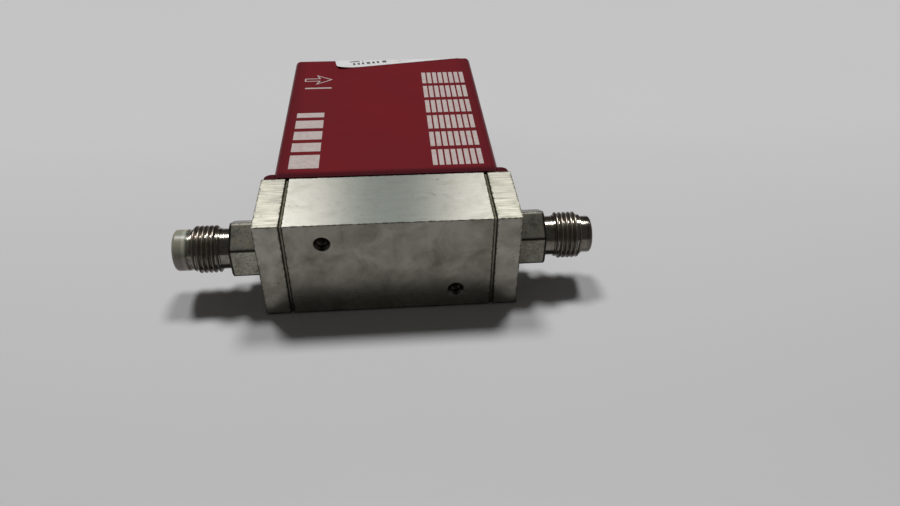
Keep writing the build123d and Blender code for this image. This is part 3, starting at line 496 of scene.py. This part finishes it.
def screen_ink(tint):
    """Pale screen ink: flat, slightly uneven in cover and rubbed thin in places."""
    material, put, place = new_material("screen_print_ink")
    cover = put("TexNoise", {"Vector": place, "Scale": 0.7 / MM, "Detail": 4.0, "Roughness": 0.6})[0]
    level = put("MapRange", (cover, 0.4, 0.75))[0]
    thin = scaled(tint, 0.86, 0.74, 0.74)
    inked = put("Mix", {0: level, 6: tint, 7: thin}, data_type="RGBA")[2]
    return shade(material, {"Base Color": inked, "Roughness": 0.6}, (0.15, 0.005, cover))


def matte_polymer(name, code, shadow, grain_mm, roughness):
    """A moulded or coated part: a fine moulded grain and slightly uneven colour."""
    material, put, place = new_material(name)
    grain = put("TexNoise", {"Vector": place, "Scale": 1 / (grain_mm * MM), "Detail": 3.0})[0]
    coloured = stained(put, linear(code), (grain, 0.35, 0.7, 0.0, 1.0, shadow))
    return shade(material, {"Base Color": coloured, "Roughness": roughness}, (0.25, 0.01, grain))


def milky_polythene(tint):
    """Thin polythene: the skirt lets the steel show through, and the solid end is milky."""
    material, put, place = new_material("milky_polythene")
    along = put("SeparateXYZ", (place,))
    body = put("MapRange", (along[0], 1.7 * MM - NOSE_END, 2.3 * MM - NOSE_END, 0.9, 0.14))[0]
    haze = put("TexNoise", {"Vector": place, "Scale": 0.42 / MM, "Detail": 3.0})[0]
    off_ring = off(put, along[0], 1.3 * MM - NOSE_END)
    # painted shade on the lower side, haze, and a painted highlight just inside the solid end
    surface = stained(
        put,
        tint,
        # painted shade on the lower side
        (along[2], -5.0 * MM, 5.0 * MM, 0.75, 0.0, "867a74"),
        (haze, 0.35, 0.7, 0.0, 0.3, "868672"),
        # painted highlight in the plastic by the nose's rim
        (off_ring, 0.15 * MM, 0.7 * MM, 0.5, 0.0, "c2bfb2"),
    )
    look = {"Base Color": surface, "Roughness": 0.32, "Alpha": body,
            "Subsurface Weight": 0.5, "Subsurface Scale": 1.5 * MM}
    return shade(material, look, (0.1, 0.02, haze))


def polyester_film(tint):
    """White printed film: a smooth semi-gloss face with faint handling marks."""
    material, put, place = new_material("white_polyester_film")
    marks = put("TexNoise", {"Vector": place, "Scale": 0.19 / MM, "Detail": 5.0, "Roughness": 0.6})[0]
    handled = stained(put, tint, (marks, 0.5, 0.75, 0.0, 0.35, "b8b6b0"))
    return shade(material, {"Base Color": handled, "Roughness": 0.42}, (0.08, 0.02, marks))


def table_top(tint):
    """A painted table top: an even pale satin and a little cloudy, with painted light that makes it lighter
    towards the back.
    """
    material, put, place = new_material("pale_table_paint")
    clouds = put("TexNoise", {"Vector": place, "Scale": 0.009 / MM, "Detail": 3.0})[0]
    darker = scaled(tint, 0.97, 0.97, 0.97)
    coloured = put("Mix", {0: clouds, 6: tint, 7: darker}, data_type="RGBA")[2]
    # painted light: lighter towards the back
    backward = put("SeparateXYZ", (place,))[1]
    level = put("MapRange", (backward, -50.0 * MM, 120.0 * MM, 0.86, 1.04))[0]
    toned = put("VectorMath", {0: coloured, "Scale": level}, operation="SCALE")[0]
    return shade(material, {"Base Color": toned, "Roughness": 0.6, "Specular IOR Level": 0.3})


# ---- end fittings


def hexagon_radius(angle, flats, corner_flat):
    """Distance from the axis to a hexagon that has a corner at angle zero."""
    corner = flats / 2 / math.cos(math.pi / 6)
    turn = (angle + math.pi / 6) % (math.pi / 3) - math.pi / 6
    side = flats / 2 / math.cos(math.pi / 6 - abs(turn))
    return min(side, corner - corner_flat)


def fitting_rings(sizes, flats):
    """The fitting's closed section, ring by ring: each is a function of the angle giving (x, radius)."""
    hexagon_end = BASE_END + sizes.hexagon_length
    thread_start = hexagon_end + sizes.neck_length
    thread_end = thread_start + sizes.thread_length
    root = sizes.thread_radius - sizes.thread_depth
    corner = flats / 2 / math.cos(math.pi / 6)
    rim = corner - sizes.hexagon_chamfer
    spigot_end = FITTING_LOW.x
    fillet, step_length = 0.25 * MM, 0.2 * MM

    def fixed(x, radius):
        return lambda angle: (x, radius)

    def side(angle):
        return hexagon_radius(angle, flats, sizes.corner_flat)

    rings = [
        fixed(spigot_end, sizes.spigot_radius),
        fixed(BASE_END, sizes.spigot_radius),
        lambda angle: (BASE_END, side(angle)),
        lambda angle: (hexagon_end - max(0.0, side(angle) - rim), side(angle)),
        lambda angle: (hexagon_end, min(side(angle), rim)),
        fixed(hexagon_end, sizes.neck_radius + fillet),
        fixed(hexagon_end + fillet, sizes.neck_radius),
        fixed(thread_start - step_length, sizes.neck_radius),
        fixed(thread_start, root),
        fixed(thread_end, root),
        fixed(thread_end + step_length, sizes.nose_radius),
    ]
    for step in range(6):
        turn = math.pi / 2 * step / 5
        x = NOSE_END - sizes.nose_round * (1 - math.sin(turn))
        rings.append(fixed(x, sizes.nose_radius - sizes.nose_round * (1 - math.cos(turn))))
    floor = NOSE_END - sizes.recess_depth
    rings += [fixed(NOSE_END, sizes.recess_radius), fixed(floor, sizes.recess_radius)]
    for step in range(9):
        turn = math.pi * step / 8
        x = floor + sizes.bead_radius * 0.9 * math.sin(turn)
        rings.append(fixed(min(x, NOSE_END), sizes.bead_circle + sizes.bead_radius * math.cos(turn)))
    rings += [fixed(floor, sizes.bore_radius), fixed(spigot_end, sizes.bore_radius)]
    return rings


def fitting_body(name, sizes, sign, material):
    """Hexagon, neck, thread root and nose of one fitting, as one closed turned piece."""
    flats = FITTING_HIGH.y - FITTING_LOW.y
    rings = fitting_rings(sizes, flats)
    segments = 144
    points = []
    for ring in rings:
        for index in range(segments):
            angle = math.tau * index / segments
            x, radius = ring(angle)
            points.append((sign * x, AXIS_Y + radius * math.sin(angle), radius * math.cos(angle)))
    faces = []
    for row in range(len(rings)):
        after = (row + 1) % len(rings)
        for index in range(segments):
            side = (index + 1) % segments
            faces.append((row * segments + index, row * segments + side, after * segments + side,
                          after * segments + index))
    return make_piece(name, points, faces, material, sharp=24)


def thread_tree():
    """A ridge wound along a helix, running out at both ends and turned to lie along its hole or shaft."""
    tree, put, given = new_geometry_tree(
        "thread_ridge",
        ["Start", "Turn"],
        ["Turns", "Length", "Root radius", "Depth", "Root width", "Crest width"],
        ["Steps per turn"],
    )
    helix = put(
        "GeometryNodeCurveSpiral",
        {"Resolution": given["Steps per turn"], "Rotations": given["Turns"], "Height": given["Length"],
         "Start Radius": given["Root radius"], "End Radius": given["Root radius"]}
    )[0]
    upright = put("GeometryNodeSetCurveNormal", {"Curve": helix}, mode="Z_UP")[0]
    section = put(
        "GeometryNodeCurvePrimitiveQuadrilateral",
        {"Bottom Width": given["Root width"], "Top Width": given["Crest width"], "Height": given["Depth"],
         "Offset": 0.0},
        mode="TRAPEZOID"
    )[0]
    # a little of the section stays sunk in the root
    rise = put("Math", (given["Depth"], 0.44), operation="MULTIPLY")[0]
    offset = put("CombineXYZ", {"Y": rise})[0]
    raised = put("GeometryNodeTransform", {"Geometry": section, "Translation": offset})[0]
    aimed = put("GeometryNodeTransform", {"Geometry": raised, "Rotation": (0.0, 0.0, math.pi / 2)})[0]
    # the ridge grows out of the root over the first half turn and sinks back over the last
    along = put("GeometryNodeSplineParameter")["Factor"]
    left = put("Math", (1.0, along), operation="SUBTRACT")[0]
    nearest = put("Math", (along, left), operation="MINIMUM")[0]
    turns_in = put("Math", (nearest, given["Turns"]), operation="MULTIPLY")[0]
    growth = put("MapRange", (turns_in, 0.0, 0.5, 0.12, 1.0))[0]
    ridge = put(
        "GeometryNodeCurveToMesh",
        {"Curve": upright, "Profile Curve": aimed, "Scale": growth, "Fill Caps": True}
    )[0]
    lying = put(
        "GeometryNodeTransform",
        {"Geometry": ridge, "Translation": given["Start"], "Rotation": given["Turn"]}
    )[0]
    return end_geometry_tree(tree, lying, given["Material"])


def fitting_thread(name, sizes, sign, tree, material):
    """The thread on one fitting, a third of a turn short of its length and a little sunk in its root."""
    start = BASE_END + sizes.hexagon_length + sizes.neck_length
    turns = sizes.thread_length / sizes.thread_pitch - 0.35
    reach = turns * sizes.thread_pitch
    begin = start + (sizes.thread_length - reach) / 2
    values = {
        "Start": (begin if sign > 0 else -begin - reach, AXIS_Y, 0.0),
        "Turns": turns,
        "Length": reach,
        "Root radius": sizes.thread_radius - sizes.thread_depth,
        "Depth": sizes.thread_depth * 1.06,
        "Root width": sizes.thread_pitch * 0.98,
        "Crest width": sizes.crest_width,
        "Steps per turn": 72,
        "Turn": (0.0, math.pi / 2, 0.0),
        "Material": material,
    }
    return thread_piece(name, tree, values)


def thread_piece(name, tree, values):
    """A thread ridge as a piece, with its normals outwards."""
    mesh = baked(name, tree, values)
    turn_outwards(mesh)
    return finish_piece(name, mesh, values["Material"], sharp=28)


# ---- marks on the cover


def offset_loop(points, distance):
    """A closed outline moved sideways by a distance, with mitred corners."""
    moved = []
    for index, point in enumerate(points):
        before = (point - points[index - 1]).normalized()
        after = (points[(index + 1) % len(points)] - point).normalized()
        normal = Vector((before.y + after.y, -before.x - after.x)).normalized()
        stretch = max(0.4, normal.dot(Vector((before.y, -before.x))))
        moved.append(point + normal * distance / stretch)
    return moved


def slab(loops, low, high):
    """Points and faces of a flat strip between two outlines, or inside one, raised from low to high."""
    count = len(loops[0])
    points = [(p.x, p.y, z) for z in (low, high) for loop in loops for p in loop]
    faces = []
    if len(loops) == 1:
        faces.append(tuple(range(count, 2 * count)))
        faces.append(tuple(reversed(range(count))))
        faces += [(i, (i + 1) % count, count + (i + 1) % count, count + i) for i in range(count)]
        return points, faces
    for i in range(count):
        j = (i + 1) % count
        for level in (0, 2 * count):
            faces.append((level + i, level + j, level + count + j, level + count + i))
        faces.append((i, j, 2 * count + j, 2 * count + i))
        faces.append((count + i, count + j, 3 * count + j, 3 * count + i))
    return points, faces


def joined(parts):
    """Several sets of points and faces as one."""
    points = []
    faces = []
    for more_points, more_faces in parts:
        shift = len(points)
        points += more_points
        faces += [tuple(index + shift for index in face) for face in more_faces]
    return points, faces


def bar_outline(x_range, y_range):
    """The outline of a plain bar, from its ranges in millimetres."""
    (left, right), (low, high) = x_range, y_range
    return [Vector((x, y)) * MM for x, y in ((left, low), (right, low), (right, high), (left, high))]


# the marks are placed in millimetres across and along the cover, and their ink bites into what carries it
ARROW = (
    (-29.9, 93.0), (-24.6, 93.0), (-25.6, 90.1), (-19.4, 94.3), (-25.6, 98.5), (-24.6, 95.6), (-29.9, 95.6)
)
RULE_X, RULE_Y = (-29.4, -19.6), (86.6, 87.6)
INLET_BARS_X = (-30.6, -21.2)
INLET_BARS_Y = ((30.0, 38.2), (40.4, 46.0), (48.2, 53.8), (56.0, 61.6), (63.8, 67.2))
SCALE_START = (15.2, 34.4)
SCALE_BARS, SCALE_STEP, SCALE_BAR_WIDTH = 8, 2.08, 1.5
INK_BITE = 0.01 * MM


def ladder_tree():
    """Rungs of short bars in rows, for the scale."""
    tree, put, given = new_geometry_tree(
        "scale_ladder", ["Start", "Rung step", "Bar step", "Bar size"], [], ["Rungs", "Bars"]
    )
    bar = put("GeometryNodeMeshCube", {"Size": given["Bar size"]})[0]
    row_points = put("GeometryNodeMeshLine", {"Count": given["Bars"], "Offset": given["Bar step"]})[0]
    row = put("GeometryNodeInstanceOnPoints", {"Points": row_points, "Instance": bar})[0]
    rung_points = put(
        "GeometryNodeMeshLine",
        {"Count": given["Rungs"], "Start Location": given["Start"], "Offset": given["Rung step"]}
    )[0]
    rungs = put("GeometryNodeInstanceOnPoints", {"Points": rung_points, "Instance": row})[0]
    return end_geometry_tree(tree, rungs, given["Material"])


# ---- label


LABEL_CORNER = (-17.9 * MM, 103.8 * MM)
LABEL_TURN = math.radians(9.5)
LIFT_REACH = (4.2 * MM, 2.6 * MM)
GLUE = 0.02 * MM
PAST_COVER = 0.15 * MM


def label_point(across, along, thickness, sizes):
    """A point of the film, from its place on the cut sheet, laid on the cover and over its far edge."""
    x = LABEL_CORNER[0] + across * math.cos(LABEL_TURN) - along * math.sin(LABEL_TURN)
    y = LABEL_CORNER[1] + across * math.sin(LABEL_TURN) + along * math.cos(LABEL_TURN)
    radius = sizes.fold_radius
    cover_end = LABEL_TOP - PAST_COVER
    fold = cover_end - radius
    bend = radius * math.pi / 2
    past = y - fold
    nearness = math.exp(-((across / LIFT_REACH[0]) ** 2 + (along / LIFT_REACH[1]) ** 2))
    raised = thickness + sizes.corner_lift * nearness
    if past <= 0:
        return (x, y, COVER_HIGH.z + raised)
    if past < bend:
        turn = past / radius
        reach = radius + raised
        return (x, fold + reach * math.sin(turn), COVER_HIGH.z - radius + reach * math.cos(turn))
    return (x, cover_end + thickness, COVER_HIGH.z - radius - (past - bend))


def label_sheet(sizes, material):
    """The folded film with round corners and its near left corner lifted."""
    columns, rows = 120, 48
    points = []
    for thickness in (GLUE, GLUE + sizes.film_thickness):
        for row in range(rows + 1):
            along = sizes.film_width * row / rows
            edge = min(along, sizes.film_width - along)
            short = max(0.0, sizes.corner_radius - edge)
            pull = sizes.corner_radius - math.sqrt(sizes.corner_radius ** 2 - short ** 2)
            for column in range(columns + 1):
                across = pull + (sizes.film_length - 2 * pull) * column / columns
                points.append(label_point(across, along, thickness, sizes))
    width = columns + 1
    layer = width * (rows + 1)
    faces = []
    for row in range(rows):
        for column in range(columns):
            corner = row * width + column
            quad = (corner, corner + 1, corner + width + 1, corner + width)
            faces.append(quad)
            faces.append(tuple(layer + index for index in reversed(quad)))
    rim = list(range(columns))
    rim += [row * width + columns for row in range(rows)]
    rim += [rows * width + column for column in range(columns, 0, -1)]
    rim += [row * width for row in range(rows, 0, -1)]
    for index, corner in enumerate(rim):
        after = rim[(index + 1) % len(rim)]
        faces.append((corner, after, layer + after, layer + corner))
    return make_piece("label_sheet", points, faces, material, sharp=40)


def label_strokes(sizes, material):
    """Plain dark strokes in two rows that stand for the label's print."""
    # each row's place and height, then each stroke's start and width, in millimetres
    rows = (
        (2.1, 1.9, ((6.5, 0.9), (8.3, 0.9), (10.0, 0.9), (11.9, 1.4), (14.2, 0.9), (16.0, 0.9), (18.2, 1.6),
                    (24.5, 1.2), (26.8, 2.2))),
        (5.0, 0.8, ((5.5, 4.0), (10.5, 6.5), (18.0, 3.0), (22.5, 8.0), (32.0, 5.0))),
    )
    low = GLUE + sizes.film_thickness - INK_BITE
    high = low + 2.5 * INK_BITE
    parts = []
    for along, height, strokes in rows:
        for start, width in strokes:
            corners = bar_outline((start, start + width), (along, along + height))
            points, faces = slab([corners], low, high)
            parts.append(([label_point(*point, sizes) for point in points], faces))
    points, faces = joined(parts)
    return make_piece("label_strokes", points, faces, material)


# ---- operators


class MFC_OT_dress_base(bpy.types.Operator):
    """Finishes the centre block, the end blocks and the plates between them"""

    bl_idname = "mfc.dress_base"
    bl_label = "Dress the steel base"

    def execute(self, context):
        steel = scaled(context.scene.mfc_finish.block_steel, 1.0, 1.0, 1.0)
        warm = scaled(steel, 1.02, 1.01, 0.96)
        # line gap, line depth, reach of the darkened arrises, and the painted light of the faces that look up
        # and down and of the other faces
        fine = (0.28 * MM, 0.08, 0.7 * MM, 1.24, (0.91, 0.88, 0.84))
        coarse = (0.5 * MM, 0.46, 0.9 * MM, 0.98, (1.06, 1.04, 1.05))
        for name, tint, look in (("body_block", steel, fine), ("inlet_block", warm, coarse),
                                 ("outlet_block", warm, coarse)):
            paint([name], milled_stainless("brushed_stainless_" + name, name, tint, look))
        paint(["inlet_seal_plate", "outlet_seal_plate"], seam_stainless())
        rubber = matte_polymer("moulded_rubber", "1c1c1b", "2a2a28", 0.15, 0.7)
        paint(["inlet_seal_ring", "outlet_seal_ring", "sensor_seals"], rubber)
        return {"FINISHED"}


class MFC_OT_dress_fittings(bpy.types.Operator):
    """Builds the two end fittings with their hexagons, threads and sealing noses"""

    bl_idname = "mfc.dress_fittings"
    bl_label = "Build the end fittings"

    def execute(self, context):
        sizes = context.scene.mfc_fitting
        tint = list(context.scene.mfc_finish.fitting_steel)
        hexagon_end = BASE_END + sizes.hexagon_length
        # smoothness, tint of the stain and tint of the hexagon's flats, which is painted light: lighter at
        # the inlet and darker at the outlet
        looks = {
            "worn_thread_stainless": (0.3, (0.6, 0.48, 0.42), (1.0, 1.0, 1.0)),
            "turned_stainless_inlet": (0.11, (0.6, 0.54, 0.49), (1.24, 1.3, 1.24)),
            "turned_stainless_outlet": (0.11, (0.6, 0.54, 0.49), (0.8, 0.84, 0.8)),
        }
        worn, *turned = [turned_stainless(name, tint, *look, hexagon_end) for name, look in looks.items()]
        tree = thread_tree()
        for end, sign, steel in zip(("inlet", "outlet"), (-1, 1), turned):
            body = fitting_body(end + "_fitting_body", sizes, sign, steel)
            thread = fitting_thread(end + "_fitting_thread", sizes, sign, tree, worn)
            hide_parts(end + "_fitting")
            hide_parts(end + "_fitting")
        return {"FINISHED"}


class MFC_OT_cut_hole_threads(bpy.types.Operator):
    """Cuts the threads in the two mounting holes"""

    bl_idname = "mfc.cut_hole_threads"
    bl_label = "Cut the hole threads"

    def execute(self, context):
        # the tapped steel is darker than the block: painted shade inside the holes
        steel = plain_metal("tapped_stainless", "6e695c", "3c3930", 0.3, (0.3, 0.45))
        tree = thread_tree()
        pitch, first, last = 0.7 * MM, 1.5 * MM, 5.6 * MM
        for name, (hole_x, hole_z) in zip(("inlet_hole_thread", "outlet_hole_thread"), MOUNTING_HOLES):
            values = {
                "Start": (hole_x, first, hole_z),
                "Turns": (last - first) / pitch,
                "Length": last - first,
                "Root radius": 1.43 * MM,
                "Depth": 0.24 * MM,
                "Root width": 0.14 * MM,
                "Crest width": 0.6 * MM,
                "Steps per turn": 48,
                "Turn": (-math.pi / 2, 0.0, 0.0),
                "Material": steel,
            }
            thread_piece(name, tree, values)
        return {"FINISHED"}


class MFC_OT_dress_inlet_cap(bpy.types.Operator):
    """Finishes the plastic cap that protects the inlet's sealing bead"""

    bl_idname = "mfc.dress_inlet_cap"
    bl_label = "Dress the inlet cap"

    def execute(self, context):
        paint(["inlet_cap"], milky_polythene(list(context.scene.mfc_finish.cap_plastic)))
        return {"FINISHED"}


class MFC_OT_dress_gas_train(bpy.types.Operator):
    """Finishes the filter, the bypass, the sensor and the control valve inside the base and cover"""

    bl_idname = "mfc.dress_gas_train"
    bl_label = "Dress the gas train"

    def execute(self, context):
        sintered = plain_metal("sintered_stainless", "8f8c85", "5e5b54", 0.12, (0.55, 0.75))
        paint(["inlet_filter"], sintered)
        steel = plain_metal("ground_stainless", "b8b6ae", "8f8b82", 0.2, (0.25, 0.4))
        paint(["bypass_sleeve", "bypass_core", "sensor_base", "sensor_capillary"], steel)
        paint(["valve_" + part for part in ("seat", "spacer", "diaphragm", "case", "plunger", "cap")], steel)
        paint(["sensor_windings"], matte_polymer("enamelled_winding", "7d3f1c", "5c2a12", 0.1, 0.35))
        paint(["sensor_case"], plain_metal("clear_anodised_case", "b9bbbd", "989a9c", 0.15, (0.4, 0.55)))
        paint(["actuator_stack"], matte_polymer("glazed_ceramic", "d9d4c6", "c6bfae", 0.4, 0.35))
        return {"FINISHED"}


class MFC_OT_dress_cover(bpy.types.Operator):
    """Finishes the red cover and the folded frame under it"""

    bl_idname = "mfc.dress_cover"
    bl_label = "Dress the cover"

    def execute(self, context):
        paint(["cover"], red_anodised_sheet(list(context.scene.mfc_finish.cover_red)))
        paint(["inner_frame"], plain_metal("zinc_plated_sheet", "a9adb0", "868a8c", 0.5, (0.35, 0.5)))
        return {"FINISHED"}


class MFC_OT_print_marks(bpy.types.Operator):
    """Prints the flow arrow, the plain bars and the scale on the marked face"""

    bl_idname = "mfc.print_marks"
    bl_label = "Print the marks"

    def execute(self, context):
        marks = context.scene.mfc_marks
        ink = screen_ink(list(context.scene.mfc_finish.ink))
        low = COVER_HIGH.z - INK_BITE
        high = COVER_HIGH.z + marks.ink_thickness
        arrow = [Vector(corner) * MM for corner in ARROW]
        flow = [[arrow, offset_loop(arrow, -marks.line_width)], [bar_outline(RULE_X, RULE_Y)]]
        bars = [[bar_outline(INLET_BARS_X, y_range)] for y_range in INLET_BARS_Y]
        for name, shapes in (("print_flow_arrow", flow), ("print_inlet_bars", bars)):
            points, faces = joined([slab(loops, low, high) for loops in shapes])
            make_piece(name, points, faces, ink)
        values = {
            "Start": (SCALE_START[0] * MM, SCALE_START[1] * MM, (low + high) / 2),
            "Rungs": marks.ladder_count,
            "Rung step": (0.0, marks.ladder_pitch, 0.0),
            "Bars": SCALE_BARS,
            "Bar step": (SCALE_STEP * MM, 0.0, 0.0),
            "Bar size": (SCALE_BAR_WIDTH * MM, marks.rung_height, high - low),
            "Material": ink,
        }
        scale = baked("print_outlet_scale", ladder_tree(), values)
        finish_piece("print_outlet_scale", scale, ink)
        return {"FINISHED"}


class MFC_OT_dress_label(bpy.types.Operator):
    """Lays the white label over the far edge of the cover"""

    bl_idname = "mfc.dress_label"
    bl_label = "Lay the label"

    def execute(self, context):
        film = polyester_film(list(context.scene.mfc_finish.label_film))
        black = matte_polymer("black_thermal_print", "3a3a3c", "55555a", 0.3, 0.6)
        sizes = context.scene.mfc_label
        for piece in (label_sheet(sizes, film), label_strokes(sizes, black)):
            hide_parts("label")
        return {"FINISHED"}


class MFC_OT_dress_electronics(bpy.types.Operator):
    """Finishes the boards and the parts on them"""

    bl_idname = "mfc.dress_electronics"
    bl_label = "Dress the electronics"

    def execute(self, context):
        board = matte_polymer("glass_epoxy_board", "1f4a2c", "17391f", 0.5, 0.4)
        paint(["main_board", "connector_board"], board)
        paint(["board_chips"], matte_polymer("epoxy_package", "1d1d1f", "2b2b2d", 0.12, 0.55))
        paint(["board_capacitors"], matte_polymer("shrink_sleeve", "22304f", "1a2540", 0.6, 0.35))
        paint(["board_trimmers"], matte_polymer("trimmer_moulding", "2b4f86", "234272", 0.2, 0.45))
        paint(["board_header"], matte_polymer("header_moulding", "161616", "222222", 0.2, 0.5))
        return {"FINISHED"}


class MFC_OT_dress_connector(bpy.types.Operator):
    """Finishes the nine-way connector at the far end"""

    bl_idname = "mfc.dress_connector"
    bl_label = "Dress the connector"

    def execute(self, context):
        paint(["connector_shell"], plain_metal("tinned_steel_shell", "b9b8b2", "96948d", 0.3, (0.3, 0.45)))
        paint(["connector_insulator"], matte_polymer("glass_filled_nylon", "202021", "2d2d2e", 0.15, 0.5))
        paint(["connector_pins"], plain_metal("gold_plated_pin", "d6ab55", "b98d3c", 0.1, (0.2, 0.3)))
        return {"FINISHED"}


class MFC_OT_dress_screws(bpy.types.Operator):
    """Finishes every screw and nut"""

    bl_idname = "mfc.dress_screws"
    bl_label = "Dress the screws"

    def execute(self, context):
        steel = plain_metal("stainless_screw", "a5a29a", "6e6a61", 0.15, (0.28, 0.42))
        held = ("inlet_block", "outlet_block", "sensor", "valve", "cover", "frame", "board")
        paint([part + "_screws" for part in held], steel)
        paint(["valve_lock_screw", "jackscrews", "jackscrew_nuts"], steel)
        return {"FINISHED"}


# the camera, the half width of the table, and how bright the room looks and how metal sees its sides
CAMERA_PLACE = (1.25 * MM, -164.07 * MM, 133.69 * MM)
CAMERA_AHEAD = (0.07675, 0.78323, -0.61698)
CAMERA_RIGHT = (0.99615, -0.08652, 0.01409)
TABLE_REACH = 3.0
SEEN_LEVEL = 0.56
SIDE_LEVEL = 0.36


class MFC_OT_build_stage(bpy.types.Operator):
    """Adds the table, the soft lights and the camera"""

    bl_idname = "mfc.build_stage"
    bl_label = "Build the stage"

    def execute(self, context):
        stage = context.scene.mfc_stage
        context.scene.view_settings.view_transform = "Standard"
        corners = [(TABLE_REACH * x, TABLE_REACH * y) for x, y in ((-1, -1), (1, -1), (1, 1), (-1, 1))]
        mesh = bpy.data.meshes.new("table")
        mesh.from_pydata([(x, y, FLOOR_Z - 0.02 * MM) for x, y in corners], [], [(0, 1, 2, 3)])
        mesh.materials.append(table_top(list(context.scene.mfc_finish.table)))
        table = bpy.data.objects.new("table", mesh)
        context.scene.collection.objects.link(table)
        for side, name in ((-1, "lamp_left"), (1, "lamp_right")):
            self.add_lamp(name, side, stage)
        context.scene.world = self.soft_room(stage.fill_level)
        self.add_camera(context, stage)
        return {"FINISHED"}

    def soft_room(self, fill):
        """A dim room that looks pale, and that metal sees as pale on its left and right."""
        world = bpy.data.worlds.new("soft_room")
        world.use_nodes = True
        world.node_tree.nodes.clear()
        put = partial(add, world.node_tree)
        direction = put("TexCoord")["Generated"]
        sideways = put("SeparateXYZ", (direction,))[0]
        turned = put("Math", (sideways,), operation="ABSOLUTE")[0]
        mirrored = put("MapRange", (turned, 0.35, 0.7, fill, SIDE_LEVEL), interpolation_type="SMOOTHSTEP")[0]
        ray = put("LightPath")
        glossy, clear = ray["Is Glossy Ray"], ray["Is Transmission Ray"]
        reflected = put("Math", (glossy, clear), operation="MAXIMUM")[0]
        for_metal = put("Mix", {0: reflected, 2: fill, 3: mirrored}, data_type="FLOAT")[0]
        level = put("Mix", {0: ray["Is Camera Ray"], 2: for_metal, 3: SEEN_LEVEL}, data_type="FLOAT")[0]
        room = put("Background", {"Color": linear("f7f5f2"), "Strength": level})[0]
        put("OutputWorld", {"Surface": room})
        return world

    def add_lamp(self, name, side, stage):
        """One of two soft lamps overhead, a little behind the object and to one side."""
        light = bpy.data.lights.new(name, "SUN")
        light.energy = stage.lamp_level
        light.angle = stage.lamp_size
        holder = bpy.data.objects.new(name, light)
        place = Vector((side * math.tan(stage.lamp_spread), math.tan(stage.lamp_lean), 1.0))
        turn = (-place).to_track_quat("-Z", "Y").to_matrix().to_4x4()
        holder.matrix_world = Matrix.Translation(place) @ turn
        bpy.context.scene.collection.objects.link(holder)

    def add_camera(self, context, stage):
        """The camera in front of the base, looking down over it along the cover."""
        lens = bpy.data.cameras.new("camera")
        lens.sensor_width = 36.0
        lens.sensor_fit = "HORIZONTAL"
        lens.lens = stage.focal_length
        lens.clip_start = 0.005
        ahead = Vector(CAMERA_AHEAD).normalized()
        up = Vector(CAMERA_RIGHT).cross(ahead).normalized()
        right = ahead.cross(up)
        turn = Matrix((right, up, -ahead)).transposed().to_4x4()
        camera = bpy.data.objects.new("camera", lens)
        camera.matrix_world = Matrix.Translation(CAMERA_PLACE) @ turn
        context.scene.collection.objects.link(camera)
        context.scene.camera = camera


OPERATORS = [
    MFC_OT_dress_base,
    MFC_OT_dress_fittings,
    MFC_OT_cut_hole_threads,
    MFC_OT_dress_inlet_cap,
    MFC_OT_dress_gas_train,
    MFC_OT_dress_cover,
    MFC_OT_print_marks,
    MFC_OT_dress_label,
    MFC_OT_dress_electronics,
    MFC_OT_dress_connector,
    MFC_OT_dress_screws,
    MFC_OT_build_stage,
]


class MFC_PT_panel(bpy.types.Panel):
    """Lists the steps that dress the flow controller"""

    bl_label = "Flow controller"
    bl_idname = "MFC_PT_panel"
    bl_space_type = "VIEW_3D"
    bl_region_type = "UI"
    bl_category = "Flow controller"

    def draw(self, context):
        for step in OPERATORS:
            self.layout.operator(step.bl_idname)


def register():
    for group in GROUPS.values():
        bpy.utils.register_class(group)
    for name, group in GROUPS.items():
        setattr(bpy.types.Scene, name, bpy.props.PointerProperty(type=group))
    for step in OPERATORS:
        bpy.utils.register_class(step)
    bpy.utils.register_class(MFC_PT_panel)


def unregister():
    bpy.utils.unregister_class(MFC_PT_panel)
    for step in reversed(OPERATORS):
        bpy.utils.unregister_class(step)
    for name in GROUPS:
        delattr(bpy.types.Scene, name)
    for group in reversed(GROUPS.values()):
        bpy.utils.unregister_class(group)


def main():
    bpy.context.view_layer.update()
    register()
    for step in OPERATORS:
        group, name = step.bl_idname.split(".")
        getattr(getattr(bpy.ops, group), name)()


if __name__ == "__main__":
    main()
